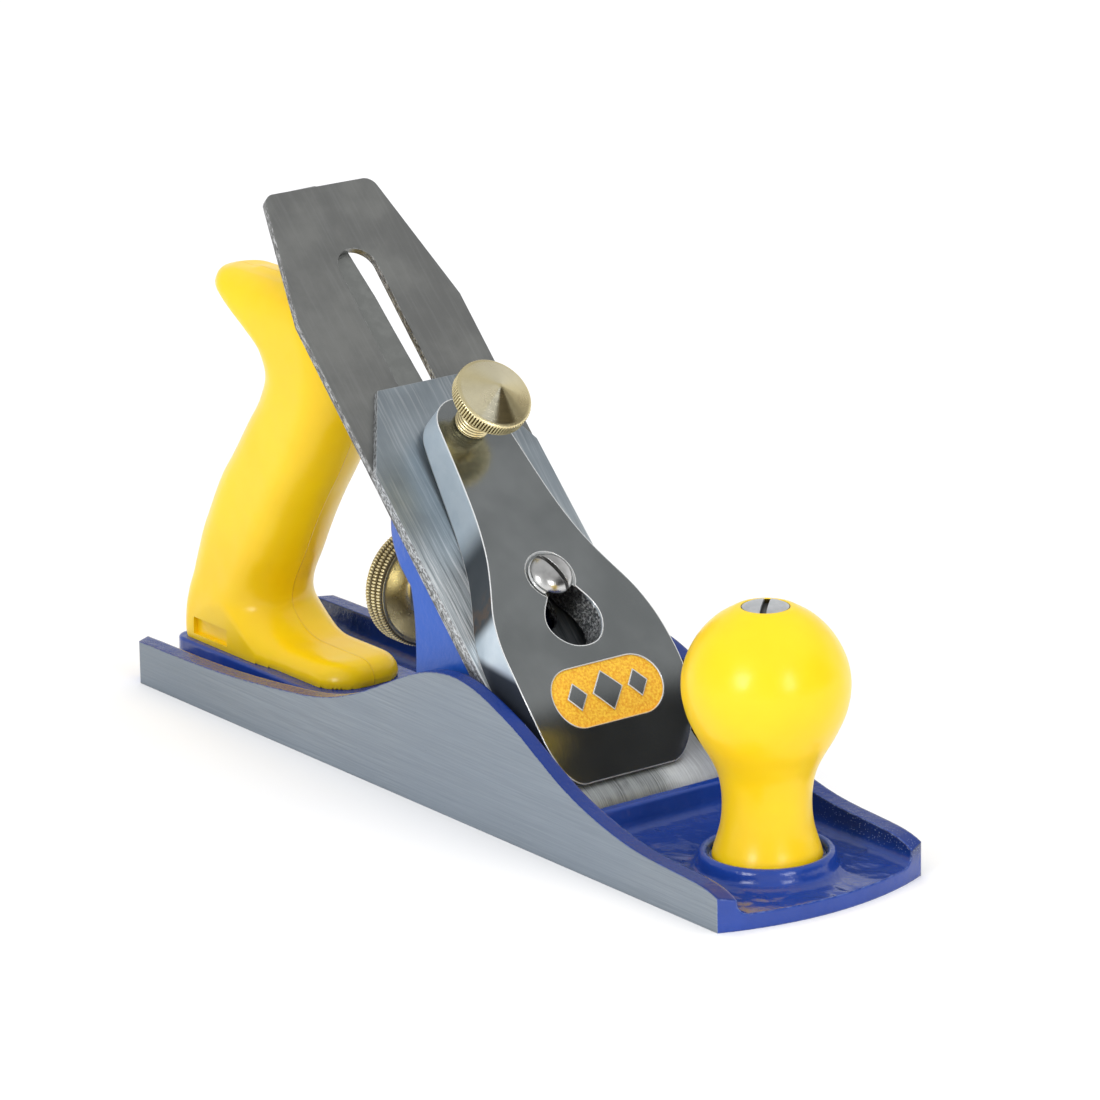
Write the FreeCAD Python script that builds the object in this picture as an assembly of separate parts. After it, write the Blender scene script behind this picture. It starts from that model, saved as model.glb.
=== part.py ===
import FreeCAD, Part
import math
import os

# Metal bench plane with a 50 mm iron bedded at 45 degrees (mm).
# Frame: +X towards the toe, +Y to the left when facing the toe, +Z up.
# Origin: centre of the sole, on the sole plane. The x values below count from a datum
# X_SHIFT ahead of that centre; every finished piece is moved onto the origin.
#
# Bed coordinates: s is measured up the bed from where the upper face of the iron meets the
# sole plane, h is the height above the frog face. Bed pieces are built lying flat with
# x = -s and z = h, then placed with on_bed.
#
# Name endings: _X _Y _Z places, _S _H bed places, _R radius, _T thickness, _HW half width.
# Cutters run past the surfaces they cut.

os.makedirs("parts", exist_ok=True)

Vector = FreeCAD.Vector
X_AXIS, Y_AXIS, Z_AXIS = Vector(1, 0, 0), Vector(0, 1, 0), Vector(0, 0, 1)
ROOT_HALF = math.sqrt(0.5)
SIDES = (-1, 1)

# ------------------------------------------------------------------ driving dimensions
X_SHIFT = 1.0
RUN = 0.05               # running clearance
BORE_CLEAR = 0.15        # clearance of the bores in knob and handle

BODY_HW = 62.4 / 2       # over the ground cheeks
CORNER_X = 122.0         # square corners of toe and heel
TOE_X = 128.5            # foremost point of the bowed toe
HEEL_X = -130.5          # rearmost point of the bowed heel
FLOOR_T = 4.0            # casting over the sole
CHEEK_IN_LOW = 26.7      # inner half width at the foot of the cheeks
CHEEK_IN_HIGH = 27.7     # inner half width at CAVITY_TOP_Z
CAVITY_TOP_Z = 42
CAST_R = 3.0             # inner corner radius of the casting

BED_X = 55.2             # where the upper face of the iron meets the sole plane
IRON_HW = 50.0 / 2
IRON_T = 2.0
CAP_T = 2.0
CAP_TOP_H = IRON_T + CAP_T

MOUTH_FRONT_X = 57.6
MOUTH_HW = 26.7
RIB_X0, RIB_X1, RIB_Z = 57.8, 61.4, 10.6

SEAT_Z = 13.0            # rear frog seat
SEAT_X0, SEAT_X1 = -6.0, 26.0
FRONT_SEAT_Z = 5.5
SEAT_HW = 20
FROG_HW = 24.0
FROG_PLATE_T = 6.0
FROG_BASE_TOP_Z = SEAT_Z + 4.5
FROG_SCREW_X, FROG_SCREW_Y, FROG_SCREW_R = 16.0, 13.0, 3.0
WASHER_T = 1.5

ADJ_Z, ADJ_R = 8.9, 2.4              # frog adjusting screw
FORK_X0, FORK_X1 = -16.0, -14.2      # rear and front of the adjusting plate
PLATE_SCREW_Z, PLATE_SCREW_R = 19.5, 2.0

STUD_Z, STUD_R = 41.0, 3.0           # depth wheel axis
WHEEL_R = 15.5
WHEEL_X0, WHEEL_X1 = -41.4, -34.2
WHEEL_NECK_R = 5.4
WHEEL_FLANGE_R = 7.6
GROOVE_X0, GROOVE_X1 = -30.5, -27.5  # wheel groove that takes the yoke fork

YOKE_S, YOKE_H = 91.0, -13.0         # yoke pivot
YOKE_TIP_H = 3.0
YOKE_HUB_HW = 6.3
YOKE_PIN_R = 2.0
LAT_S, LAT_PIVOT_R = 112.5, 2.4      # lateral lever pivot
LAT_TOP_H, LAT_T = -0.1, 1.6
LAT_LOW_H = LAT_TOP_H - LAT_T
LAT_TILT = 0.8                       # resting tilt of the lateral lever, degrees
ROLLER_S, RIVET_R = 102.5, 1.9

CAP_SCREW_S, CAP_SCREW_R = 80.5, 3.9
LEVER_SCREW_S, LEVER_SCREW_R = 67.0, 3.2
LEVER_TOP_H = 15.3
THUMB_S, THUMB_HOLE_R = 112.0, 4.0

KNOB_X = 102.0
KNOB_SEAT_Z = 6.5
KNOB_STUD_R = 2.75
PLATFORM_Z = 8.5                     # top of the handle platform

ROD_FOOT = Vector(-110.5, 0, 3.0)    # handle rod axis
ROD_TOP = Vector(-79.0, 0, 108.4)
ROD_DIR = (ROD_TOP - ROD_FOOT).normalize()
ROD_R = 2.75
ROD_END = (ROD_TOP - ROD_FOOT).Length - 7.5    # nut seat datum, measured up the rod
NUT_START = ROD_END - 1.5                      # foot of the nut and its counterbore


# ------------------------------------------------------------------ outlines and faces
def in_xz(x, z):
    return Vector(x, 0, z)


def in_xy(x, y):
    return Vector(x, y, 0)


def in_sh(s, h):
    return Vector(-s, 0, h)


def in_sy(s, y):
    return Vector(-s, y, 0)


def lines(points):
    return [Part.makeLine(a, b) for a, b in zip(points, points[1:])]


def arc(points):
    return [Part.Arc(*points).toShape()]


def spline(points):
    curve = Part.BSplineCurve()
    curve.interpolate(points)
    return [curve.toShape()]


def outline_face(*pieces, plane=in_xz):
    """Face bounded by the pieces in turn. A piece is (curve function, 2-D points);
    straight edges close the gaps between pieces."""
    chains = [(curve, [plane(*p) for p in points]) for curve, points in pieces]
    edges = []
    for i, (curve, points) in enumerate(chains):
        edges += curve(points)
        following = chains[(i + 1) % len(chains)][1][0]
        if points[-1].distanceToPoint(following) > 1e-6:
            edges.append(Part.makeLine(points[-1], following))
    return Part.Face(Part.Wire(Part.__sortEdges__(edges)))


def polygon_face(points):
    return Part.Face(Part.makePolygon(points + points[:1]))


def mirrored(half):
    """(position, half width) pairs continued back along the -Y side."""
    return half + [(s, -w) for s, w in reversed(half) if w]


# ------------------------------------------------------------------ simple solids
def prism_y(face, y0, y1):
    face = face.copy()
    face.translate(Vector(0, y0, 0))
    return face.extrude(Vector(0, y1 - y0, 0))


def xz_prism(points, y0, y1):
    return prism_y(polygon_face([in_xz(*p) for p in points]), y0, y1)


def sy_prism(points, h0, h1):
    return polygon_face([Vector(-s, y, h0) for s, y in points]).extrude(Vector(0, 0, h1 - h0))


def box(x0, x1, y0, y1, z0, z1):
    return Part.makeBox(x1 - x0, y1 - y0, z1 - z0, Vector(x0, y0, z0))


def block(x0, x1, half_width, z0, z1):
    return box(x0, x1, -half_width, half_width, z0, z1)


def bed_block(s0, s1, half_width, h0, h1):
    return block(-s1, -s0, half_width, h0, h1)


def cylinder_x(x, z, radius, length):
    return Part.makeCylinder(radius, length, Vector(x, 0, z), X_AXIS)


def cylinder_y(x, z, radius, half_length):
    return Part.makeCylinder(radius, 2 * half_length, Vector(x, -half_length, z), Y_AXIS)


def cylinder_z(x, y, z, radius, length):
    return Part.makeCylinder(radius, length, Vector(x, y, z), Z_AXIS)


def bed_cylinder(s, h, radius, length):
    return cylinder_z(-s, 0, h, radius, length)


def rod_cylinder(radius, start, length):
    """Cylinder on the handle rod axis; start is measured up the rod."""
    return Part.makeCylinder(radius, length, ROD_FOOT + ROD_DIR * start, ROD_DIR)


def slot(x, y, half, radius, z0, z1, along=X_AXIS):
    """Upright obround with its straight part of +/-half along X or Y."""
    side = Y_AXIS if along is X_AXIS else X_AXIS
    reach = along * half + side * radius
    shape = box(x - reach.x, x + reach.x, y - reach.y, y + reach.y, z0, z1)
    for sign in SIDES:
        end = Vector(x, y, z0) + along * (sign * half)
        shape = shape.fuse(cylinder_z(end.x, end.y, z0, radius, z1 - z0))
    return shape.removeSplitter()


def bed_slot(s0, s1, radius, h0, h1):
    return slot(-(s0 + s1) / 2, 0, (s1 - s0) / 2 - radius, radius, h0, h1)


def turned_z(axis_x, *pieces):
    """Outline pieces with points (radius, z), turned about the upright axis at axis_x."""
    face = outline_face(*pieces, plane=lambda radius, z: Vector(axis_x + radius, 0, z))
    return face.revolve(Vector(axis_x, 0, 0), Z_AXIS, 360)


def turned_x(axis_z, *pieces):
    """Outline pieces with points (radius, x), turned about the level axis at axis_z."""
    face = outline_face(*pieces, plane=lambda radius, x: Vector(x, 0, axis_z + radius))
    return face.revolve(Vector(0, 0, axis_z), X_AXIS, 360)


def driver_slot(x, half_width, z0, z1, angle):
    """Cutter for a screwdriver slot turned by angle about the upright axis at x."""
    cutter = block(-8, 8, half_width, z0, z1)
    cutter.rotate(Vector(0, 0, 0), Z_AXIS, angle)
    cutter.translate(Vector(x, 0, 0))
    return cutter


# ------------------------------------------------------------------ placing and finishing
BED_PLACE = FreeCAD.Matrix()
BED_PLACE.rotateY(math.radians(45.0))
BED_PLACE.move(Vector(BED_X - IRON_T * ROOT_HALF, 0, -IRON_T * ROOT_HALF))
YOKE_PIVOT = BED_PLACE.multVec(in_sh(YOKE_S, YOKE_H))


def on_bed(shape):
    return shape.transformed(BED_PLACE)


def bed_plane_x(z, h=0.0):
    """x at level z of the plane h above the frog face."""
    return BED_X - 2 * ROOT_HALF * IRON_T + h / ROOT_HALF - z


def yoke_cylinder(radius, half_length):
    return cylinder_y(YOKE_PIVOT.x, YOKE_PIVOT.z, radius, half_length)


def runs_along(edge, axis):
    return abs(edge.tangentAt(edge.FirstParameter).dot(axis)) > 0.9


def ease(shape, method, size, pick):
    edges = [e for e in shape.Edges if pick(e)]
    if not edges:
        return shape
    # The kernel may refuse an edge or return a bad solid; the edges then stay sharp.
    try:
        eased = getattr(shape, method)(size, edges)
        if eased.isValid() and eased.Volume > 0:
            return eased
    except Exception:
        pass
    return shape


def fillet(shape, radius, pick):
    return ease(shape, "makeFillet", radius, pick)


def chamfer(shape, size, pick):
    return ease(shape, "makeChamfer", size, pick)


def single_solid(shape):
    """The one solid inside a compound; anything else is returned as it is."""
    if shape.ShapeType != "Solid" and len(shape.Solids) == 1:
        return shape.Solids[0]
    return shape


def at_frog_screws(build):
    """Compound of build(y) at both frog screws."""
    return Part.makeCompound([single_solid(build(side * FROG_SCREW_Y)) for side in SIDES])


# ------------------------------------------------------------------ plane body casting
# Upper edge of the cheeks in side view: (x, z), heel to toe
CHEEK_EDGE = [
    (-134.0, 11.0), (-127.0, 11.4), (-120.8, 11.6), (-102.3, 11.8), (-81.0, 12.6),
    (-66.0, 13.8), (-53.0, 15.2), (-40.5, 17.0), (-29.5, 20.0), (-19.4, 24.0), (-8.2, 29.3),
    (2.0, 33.9), (10.4, 36.4), (17.8, 37.2), (25.2, 36.5), (33.0, 34.2), (39.6, 31.6),
    (45.5, 28.9), (50.8, 26.0), (57.3, 22.5), (63.8, 19.4), (70.3, 16.9), (76.8, 14.9),
    (83.3, 13.3), (89.7, 12.1), (96.2, 11.4), (102.5, 11.0), (108.8, 10.7), (114.5, 10.3),
    (118.8, 9.6), (122.6, 8.3), (125.5, 6.4),
]
# Raised ring round the foot of the knob: (radius, z)
KNOB_BOSS_RING = [
    (20.5, FLOOR_T), (18.6, 4.35), (17.4, 5.2), (16.9, 6.5), (16.7, 7.7), (16.2, 8.55),
    (15.5, 8.8), (14.7, 8.5), (14.3, 7.7),
]
ROOT_Z = 2               # raised features start here, inside the floor
PLATFORM_HW = 15.6


def body_plan():
    return outline_face(
        (lines, [(-CORNER_X, -BODY_HW), (CORNER_X, -BODY_HW)]),
        (arc, [(CORNER_X, -BODY_HW), (TOE_X, 0), (CORNER_X, BODY_HW)]),
        (arc, [(-CORNER_X, BODY_HW), (HEEL_X, 0), (-CORNER_X, -BODY_HW)]),
        plane=in_xy)


def cavity(radius, low_hw, z0):
    """Trough between the cheeks, with rounded lower corners."""
    x0 = -140
    inset = radius * (1 - ROOT_HALF)
    corner = [(low_hw, z0 + radius), (low_hw - inset, z0 + inset), (low_hw - radius, z0)]
    section = outline_face(
        (lines, [(CHEEK_IN_HIGH, CAVITY_TOP_Z)]),
        (arc, corner),
        (arc, [(-y, z) for y, z in reversed(corner)]),
        (lines, [(-CHEEK_IN_HIGH, CAVITY_TOP_Z)]),
        plane=lambda y, z: Vector(x0, y, z))
    return section.extrude(Vector(-2 * x0, 0, 0))


def mouth_rib():
    """Cross rib in front of the mouth, with a cast fillet to the toe floor."""
    foot_x = RIB_X1 + 3.9
    face = outline_face(
        (lines, [(RIB_X0, ROOT_Z)]),
        (arc, [(RIB_X0, RIB_Z - 0.6), (RIB_X0 + 0.3, RIB_Z - 0.15), (RIB_X0 + 0.9, RIB_Z)]),
        (arc, [(RIB_X1 - 1.0, RIB_Z), (RIB_X1 - 0.3, RIB_Z - 0.3), (RIB_X1, RIB_Z - 1.0)]),
        (arc, [(RIB_X1 + 0.5, FLOOR_T + 3.2), (RIB_X1 + 1.5, FLOOR_T + 0.95),
               (foot_x, FLOOR_T)]),
        (lines, [(foot_x, ROOT_Z)]))
    return prism_y(face, -29, 29).common(cavity(0.2, CHEEK_IN_LOW + 0.9, 1.0))


def handle_platform():
    shape = block(HEEL_X, -50.5, PLATFORM_HW, ROOT_Z, PLATFORM_Z)
    shape = fillet(shape, 5.5, lambda e: runs_along(e, Z_AXIS) and e.BoundBox.Center.x < -100)
    shape = fillet(shape, 11.0, lambda e: runs_along(e, Z_AXIS) and e.BoundBox.Center.x > -60)
    shape = fillet(shape, 0.8, lambda e: e.BoundBox.ZMin > PLATFORM_Z - 0.01)
    return shape.common(body_plan().extrude(Vector(0, 0, 20)))


def plane_body():
    side_view = outline_face((spline, CHEEK_EDGE), (lines, [(134, 6.0), (134, -1), (-134, -1)]))
    body = body_plan().extrude(Vector(0, 0, 41)).common(prism_y(side_view, -40, 40))
    body = body.cut(cavity(CAST_R, CHEEK_IN_LOW, FLOOR_T))
    # square the foot of the cheeks beside the mouth
    body = body.cut(block(36, RIB_X0, MOUTH_HW + 0.2, FLOOR_T, 30))
    knob_boss = turned_z(
        KNOB_X, (lines, [(0, ROOT_Z), (20.5, ROOT_Z)]), (spline, KNOB_BOSS_RING),
        (lines, [(14.2, KNOB_SEAT_Z), (0, KNOB_SEAT_Z)]))
    rear_seat = block(SEAT_X0, SEAT_X1, SEAT_HW, ROOT_Z, SEAT_Z)
    front_seat = block(34, 46.4, SEAT_HW, ROOT_Z, FRONT_SEAT_Z)
    for feature in (mouth_rib(), handle_platform(), knob_boss, rear_seat, front_seat):
        body = body.fuse(feature)
    # mouth, its rear wall sloping with the bed
    mouth = [(52.8, -1), (MOUTH_FRONT_X, -1), (MOUTH_FRONT_X, 0), (RIB_X0, 4.6), (47.2, 4.6)]
    body = body.cut(xz_prism(mouth, -MOUTH_HW, MOUTH_HW))
    # screw, stud and rod holes
    for side in SIDES:
        body = body.cut(cylinder_z(FROG_SCREW_X, side * FROG_SCREW_Y, 5, FROG_SCREW_R, 10))
    body = body.cut(cylinder_x(SEAT_X0 - 1, ADJ_Z, ADJ_R + RUN, 19))
    body = body.cut(cylinder_z(KNOB_X, 0, 1.6, KNOB_STUD_R, 10))
    body = body.cut(rod_cylinder(ROD_R, -0.6, 30))
    return body.removeSplitter()


# ------------------------------------------------------------------ frog
# Arched top of the face plate: (s, half width)
FROG_ARCH = [(88, FROG_HW), (93, 23.2), (98, 21.6), (103, 19.0), (108, 15.4), (112.5, 11.2),
             (116, 6.6), (118.0, 0)]
WEB_TOP_Z = 64.9
FROG_REAR_X = -9.0
BASE_X, STEP_X = 29, 33  # front of the base plate; foot of the slope below it
# Rear edge of the side webs: (x, z)
WEB_REAR = [(-12.6, WEB_TOP_Z), (-10.6, 59.0), (-8.4, 51.7), (-7.2, 44.0), (-7.0, 34.0),
            (-7.6, 24.0), (FROG_REAR_X, SEAT_Z)]
WEB_T = 4.6
# Ear for the yoke pin: (s, h)
EAR = [(83, -4), (101, -4), (95.4, -13), (94, -15.6), (91, -16.8), (88, -15.6), (86.6, -13)]
EAR_T = 4.0
YOKE_GAP_HW = 6.45
FACE_OPENING_S = 71.9    # lower end of the opening in the frog face


def frog():
    toe_point = (bed_plane_x(FRONT_SEAT_Z), FRONT_SEAT_Z)
    plate_face = outline_face(
        (spline, mirrored(FROG_ARCH)), (lines, [(-5, -FROG_HW), (-5, FROG_HW)]),
        plane=lambda s, y: Vector(-s, y, -FROG_PLATE_T))
    shape = on_bed(plate_face.extrude(Vector(0, 0, FROG_PLATE_T)))
    web = outline_face(
        (lines, [toe_point, (bed_plane_x(WEB_TOP_Z), WEB_TOP_Z)]), (spline, WEB_REAR),
        (lines, [(BASE_X, SEAT_Z), (STEP_X, FRONT_SEAT_Z)]))
    shape = shape.fuse(prism_y(web, -FROG_HW, -FROG_HW + WEB_T))
    shape = shape.fuse(prism_y(web, FROG_HW - WEB_T, FROG_HW))
    # base plate on the rear seat and solid wedge behind the mouth
    shape = shape.fuse(block(FROG_REAR_X, BASE_X, FROG_HW, SEAT_Z, FROG_BASE_TOP_Z))
    wedge = [(26.5, SEAT_Z), (BASE_X, SEAT_Z), (STEP_X, FRONT_SEAT_Z), toe_point,
             (bed_plane_x(25.0), 25.0), (24.6, 22)]
    shape = shape.fuse(xz_prism(wedge, -FROG_HW, FROG_HW))
    # centre rib, stud boss, lever cap screw boss, adjusting plate boss
    rib = [(-10, SEAT_Z + 2), (-10, 44), (bed_plane_x(44, -4), 44), (bed_plane_x(17, -4), 17),
           (24, SEAT_Z + 2)]
    shape = shape.fuse(xz_prism(rib, -4, 4))
    shape = shape.fuse(cylinder_x(-12, STUD_Z, 7.0, 17))
    shape = shape.fuse(on_bed(bed_cylinder(LEVER_SCREW_S, -13.5, 6.6, 10)))
    shape = shape.fuse(block(FORK_X1, -8, 8, SEAT_Z, 25))
    for y0 in (-10.5, 6.5):
        ear = xz_prism([(-s, h) for s, h in EAR], y0, y0 + EAR_T)
        shape = shape.fuse(on_bed(ear))
    # opening in the face for the cap screw head and the yoke finger
    opening = bed_slot(FACE_OPENING_S, 96.8, 4.0, -7, 1)
    opening = opening.fuse(bed_block(FACE_OPENING_S, 94.8, 8.2, -4.1, 1))
    opening = opening.fuse(bed_block(87.0, 94.8, YOKE_GAP_HW, -7, 1))
    shape = shape.cut(on_bed(opening))
    yoke_gap = on_bed(bed_block(74.0, 94.0, YOKE_GAP_HW, -20, 1))
    shape = shape.cut(yoke_gap.common(block(-60, 60, YOKE_GAP_HW, 47.0, 90)))
    # recess for the lateral lever
    shape = shape.cut(on_bed(bed_block(96.0, 125, 8.6, -1.75, 1)))
    # pockets and slots for the frog screws
    for side in SIDES:
        y = side * FROG_SCREW_Y
        shape = shape.cut(slot(FROG_SCREW_X, y, 1.7, 6.55, FROG_BASE_TOP_Z, 70))
        shape = shape.cut(slot(FROG_SCREW_X, y, 1.8, 3.3, SEAT_Z - 1, SEAT_Z + 6))
    # holes: depth stud, lever cap screw, yoke pin, lateral pivot, adjusting plate screw
    shape = shape.cut(cylinder_x(-20, STUD_Z, STUD_R + RUN, 14.6))
    shape = shape.cut(on_bed(bed_cylinder(LEVER_SCREW_S, -11.4, LEVER_SCREW_R + RUN, 20)))
    shape = shape.cut(yoke_cylinder(YOKE_PIN_R, 20))
    shape = shape.cut(on_bed(bed_cylinder(LAT_S, -7, LAT_PIVOT_R, 10)))
    shape = shape.cut(cylinder_x(-15, PLATE_SCREW_Z, PLATE_SCREW_R, 8))
    # level the foot on the front seat
    return shape.common(block(-100, 100, 40, FRONT_SEAT_Z, 200)).removeSplitter()


def frog_screws():
    head_z, head_t, foot_z = FROG_BASE_TOP_Z + WASHER_T, 3.4, 6.0

    def screw(y):
        shank = cylinder_z(FROG_SCREW_X, y, foot_z, FROG_SCREW_R, head_z - foot_z)
        head = cylinder_z(FROG_SCREW_X, y, head_z, 5.0, head_t)
        head = chamfer(head, 0.5, lambda e: e.BoundBox.ZMin > head_z + head_t - 0.1)
        head = head.cut(box(FROG_SCREW_X - 6, FROG_SCREW_X + 6, y - 0.6, y + 0.6,
                            head_z + 2.0, head_z + 5))
        return shank.fuse(head).removeSplitter()

    return at_frog_screws(screw)


def frog_screw_washers():
    def washer(y):
        disc = cylinder_z(FROG_SCREW_X, y, FROG_BASE_TOP_Z, 6.2, WASHER_T)
        return disc.cut(cylinder_z(FROG_SCREW_X, y, SEAT_Z, FROG_SCREW_R, 9))

    return at_frog_screws(washer)


def frog_adjust_screw():
    """Screw whose grooved head is held by the fork of the adjusting plate."""
    screw = turned_x(ADJ_Z, (lines, [
        (0, -20.0), (3.4, -20.0), (4.0, -19.4), (4.0, FORK_X0 - RUN), (2.5, FORK_X0 - RUN),
        (2.5, FORK_X1 + RUN), (4.0, FORK_X1 + RUN), (4.0, -12.3), (ADJ_R, -12.3),
        (ADJ_R, 5.4), (1.8, 6.0), (0, 6.0)]))
    return screw.cut(block(-21, -18.6, 0.5, ADJ_Z - 5, ADJ_Z + 5))


def frog_adjust_plate():
    fork_r = 2.6
    plate = block(FORK_X0, FORK_X1, 7.0, 5.2, 24.0)
    plate = fillet(plate, 2.5, lambda e: runs_along(e, X_AXIS) and e.BoundBox.ZMin > 20)
    plate = plate.cut(block(-17, -13, fork_r, 4, ADJ_Z)).cut(cylinder_x(-17, ADJ_Z, fork_r, 5))
    return plate.cut(cylinder_x(-17, PLATE_SCREW_Z, PLATE_SCREW_R, 5))


def frog_plate_screw():
    screw = turned_x(PLATE_SCREW_Z, (lines, [
        (0, -18.4), (2.4, -18.2), (3.6, -17.4), (3.75, FORK_X0), (PLATE_SCREW_R, FORK_X0),
        (PLATE_SCREW_R, -9.0), (0, -9.0)]))
    return screw.cut(block(-19, -17.5, 4, PLATE_SCREW_Z - 0.4, PLATE_SCREW_Z + 0.4))


# ------------------------------------------------------------------ depth adjustment
def depth_stud():
    return turned_x(STUD_Z, (lines, [
        (0, -48.0), (2.4, -48.0), (STUD_R, -47.4), (STUD_R, -5.6), (0, -5.6)]))


def depth_wheel():
    """Dished wheel with three rim ridges, then the neck with its flanged groove."""
    x0, x1 = WHEEL_X0, WHEEL_X1
    bore_r, neck_r, flange_r = STUD_R + RUN, WHEEL_NECK_R, WHEEL_FLANGE_R
    rear = [(bore_r, x0 + 1.9), (6.4, x0 + 1.9), (9.5, x0 + 1.3), (13.6, x0)]
    rim = []
    for k in range(3):
        ridge_x = x0 + 1.3 + k * 2.3
        rim += [(14.75, ridge_x - 1.15), (15.25, ridge_x - 0.8), (WHEEL_R, ridge_x - 0.25),
                (WHEEL_R, ridge_x + 0.25), (15.25, ridge_x + 0.8)]
    front = [(14.75, x1 - 0.15), (14.0, x1), (13.2, x1 - 0.25), (11.5, x1 - 1.1),
             (9.0, x1 - 1.9), (7.0, x1 - 2.2), (5.9, x1 - 2.1), (neck_r, x1 - 1.5)]
    groove = [(neck_r, -31.4), (flange_r - 0.5, -31.4), (flange_r, -31.0),
              (flange_r, GROOVE_X0), (neck_r, GROOVE_X0), (neck_r, GROOVE_X1),
              (flange_r, GROOVE_X1), (flange_r, -26.2), (flange_r - 0.6, -25.6),
              (bore_r, -25.6)]
    return turned_x(STUD_Z, (lines, rear + rim + front + groove))


def yoke_lever():
    """Hub, finger through the frog face, and fork round the wheel neck."""
    finger_hw = 4.6
    yoke = yoke_cylinder(4.5, YOKE_HUB_HW)
    finger = bed_block(YOKE_S - 1.5, YOKE_S + 1.5, finger_hw, YOKE_H, YOKE_TIP_H)
    yoke = yoke.fuse(on_bed(finger))
    yoke = yoke.fuse(on_bed(cylinder_y(-YOKE_S, YOKE_TIP_H, 1.7, finger_hw)))
    fork_x = (GROOVE_X0 + GROOVE_X1) / 2
    rear_x, front_x = fork_x - 0.9, fork_x + 0.9
    bend_z = 50.2
    hub_x, hub_z = YOKE_PIVOT.x, YOKE_PIVOT.z
    arm = xz_prism([
        (hub_x + 1.0, hub_z + 3.5), (hub_x - 1.0, hub_z + 4.2), (rear_x, 52.6), (rear_x, 38.2),
        (front_x, 38.2), (front_x, bend_z), (hub_x - 1.0, hub_z - 3.2)], -9.0, 9.0)
    arm = arm.cut(block(-40, fork_x + 4.6, 5.75, 30, 49.6))
    # narrow the arm to the hub above and ahead of the fork
    for y0, y1 in ((-12, -YOKE_HUB_HW), (YOKE_HUB_HW, 12)):
        arm = arm.cut(box(-60, 0, y0, y1, bend_z, 80)).cut(box(-25.4, 0, y0, y1, 30, 80))
    yoke = yoke.fuse(arm)
    yoke = yoke.cut(yoke_cylinder(YOKE_PIN_R + RUN, 20))
    return yoke.removeSplitter()


def yoke_pin():
    return yoke_cylinder(YOKE_PIN_R, 10.9)


# ------------------------------------------------------------------ lateral adjustment
# Lever outline: (s, half width)
LATERAL_HALF = [
    (ROLLER_S, 5.0), (LAT_S, 5.6), (125, 5.0), (150, 4.3), (160, 4.1), (168, 3.5),
    (174, 3.1), (180, 3.6), (186, 4.4), (190, 4.6), (193.2, 4.6),
]
CURL_OUT_R = 2.5
CURL_IN_R = CURL_OUT_R - LAT_T


def on_bed_tilted(shape):
    """Turns the piece about the lateral pivot, upper end to -Y, and places it."""
    shape = shape.copy()
    shape.rotate(Vector(-LAT_S, 0, 0), Z_AXIS, LAT_TILT)
    return on_bed(shape)


def lateral_lever():
    lever = bed_cylinder(ROLLER_S, LAT_LOW_H, 5.0, LAT_T)
    lever = lever.fuse(bed_cylinder(LAT_S, LAT_LOW_H, 5.6, LAT_T))
    lever = lever.fuse(sy_prism(mirrored(LATERAL_HALF), LAT_LOW_H, LAT_TOP_H))
    # the free end turns down to make a thumb tab
    end_s, tab_hw = LATERAL_HALF[-1]
    centre_h = LAT_TOP_H - CURL_OUT_R
    tab_h = LAT_TOP_H - 13.0

    def bend(radius):
        return [(end_s, centre_h + radius),
                (end_s + radius * ROOT_HALF, centre_h + radius * ROOT_HALF),
                (end_s + radius, centre_h)]

    curl = outline_face(
        (arc, bend(CURL_OUT_R)),
        (lines, [(end_s + CURL_OUT_R, tab_h), (end_s + CURL_IN_R, tab_h)]),
        (arc, bend(CURL_IN_R)[::-1]), plane=in_sh)
    curl = prism_y(curl, -tab_hw, tab_hw)
    curl = fillet(curl, 3.0,
                  lambda e: e.BoundBox.ZMax < tab_h + 0.1 and e.BoundBox.XLength > 1.0)
    lever = lever.fuse(curl)
    lever = lever.cut(bed_cylinder(LAT_S, -5, LAT_PIVOT_R + RUN, 8))
    lever = lever.cut(bed_cylinder(ROLLER_S, -5, RIVET_R, 8))
    return on_bed_tilted(lever.removeSplitter())


def lateral_roller_rivet():
    head_h = 1.32
    rivet = bed_cylinder(ROLLER_S, LAT_LOW_H, RIVET_R, head_h - LAT_LOW_H)
    rivet = rivet.fuse(bed_cylinder(ROLLER_S, head_h, 3.0, 0.53))
    return on_bed_tilted(rivet.removeSplitter())


def lateral_roller():
    roller = bed_cylinder(ROLLER_S, LAT_TOP_H + 0.04, 4.8, 1.22)
    return on_bed_tilted(roller.cut(bed_cylinder(ROLLER_S, -5, RIVET_R + RUN, 8)))


def lateral_pivot():
    head_h = LAT_TOP_H + RUN
    return on_bed(turned_z(-LAT_S, (lines, [
        (0, -6.0), (LAT_PIVOT_R, -6.0), (LAT_PIVOT_R, head_h), (4.2, head_h), (4.0, 0.6),
        (3.0, 1.1), (0, 1.25)])))


# ------------------------------------------------------------------ irons
IRON_EDGE_S = 0.4        # cutting edge
IRON_SHOULDER_S = 155.5
IRON_TOP_S, IRON_TOP_HW = 193.4, 16.6
IRON_SLOT_S0, IRON_SLOT_S1, IRON_SLOT_HW = 60.0, 174.0, 5.8
IRON_BEVEL = 25          # degrees
IRON_SKEW, IRON_SKEW_S = 0.7, 40.0   # the iron sits askew under its cap, degrees

CAP_IRON_TOP_S = 132
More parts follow.
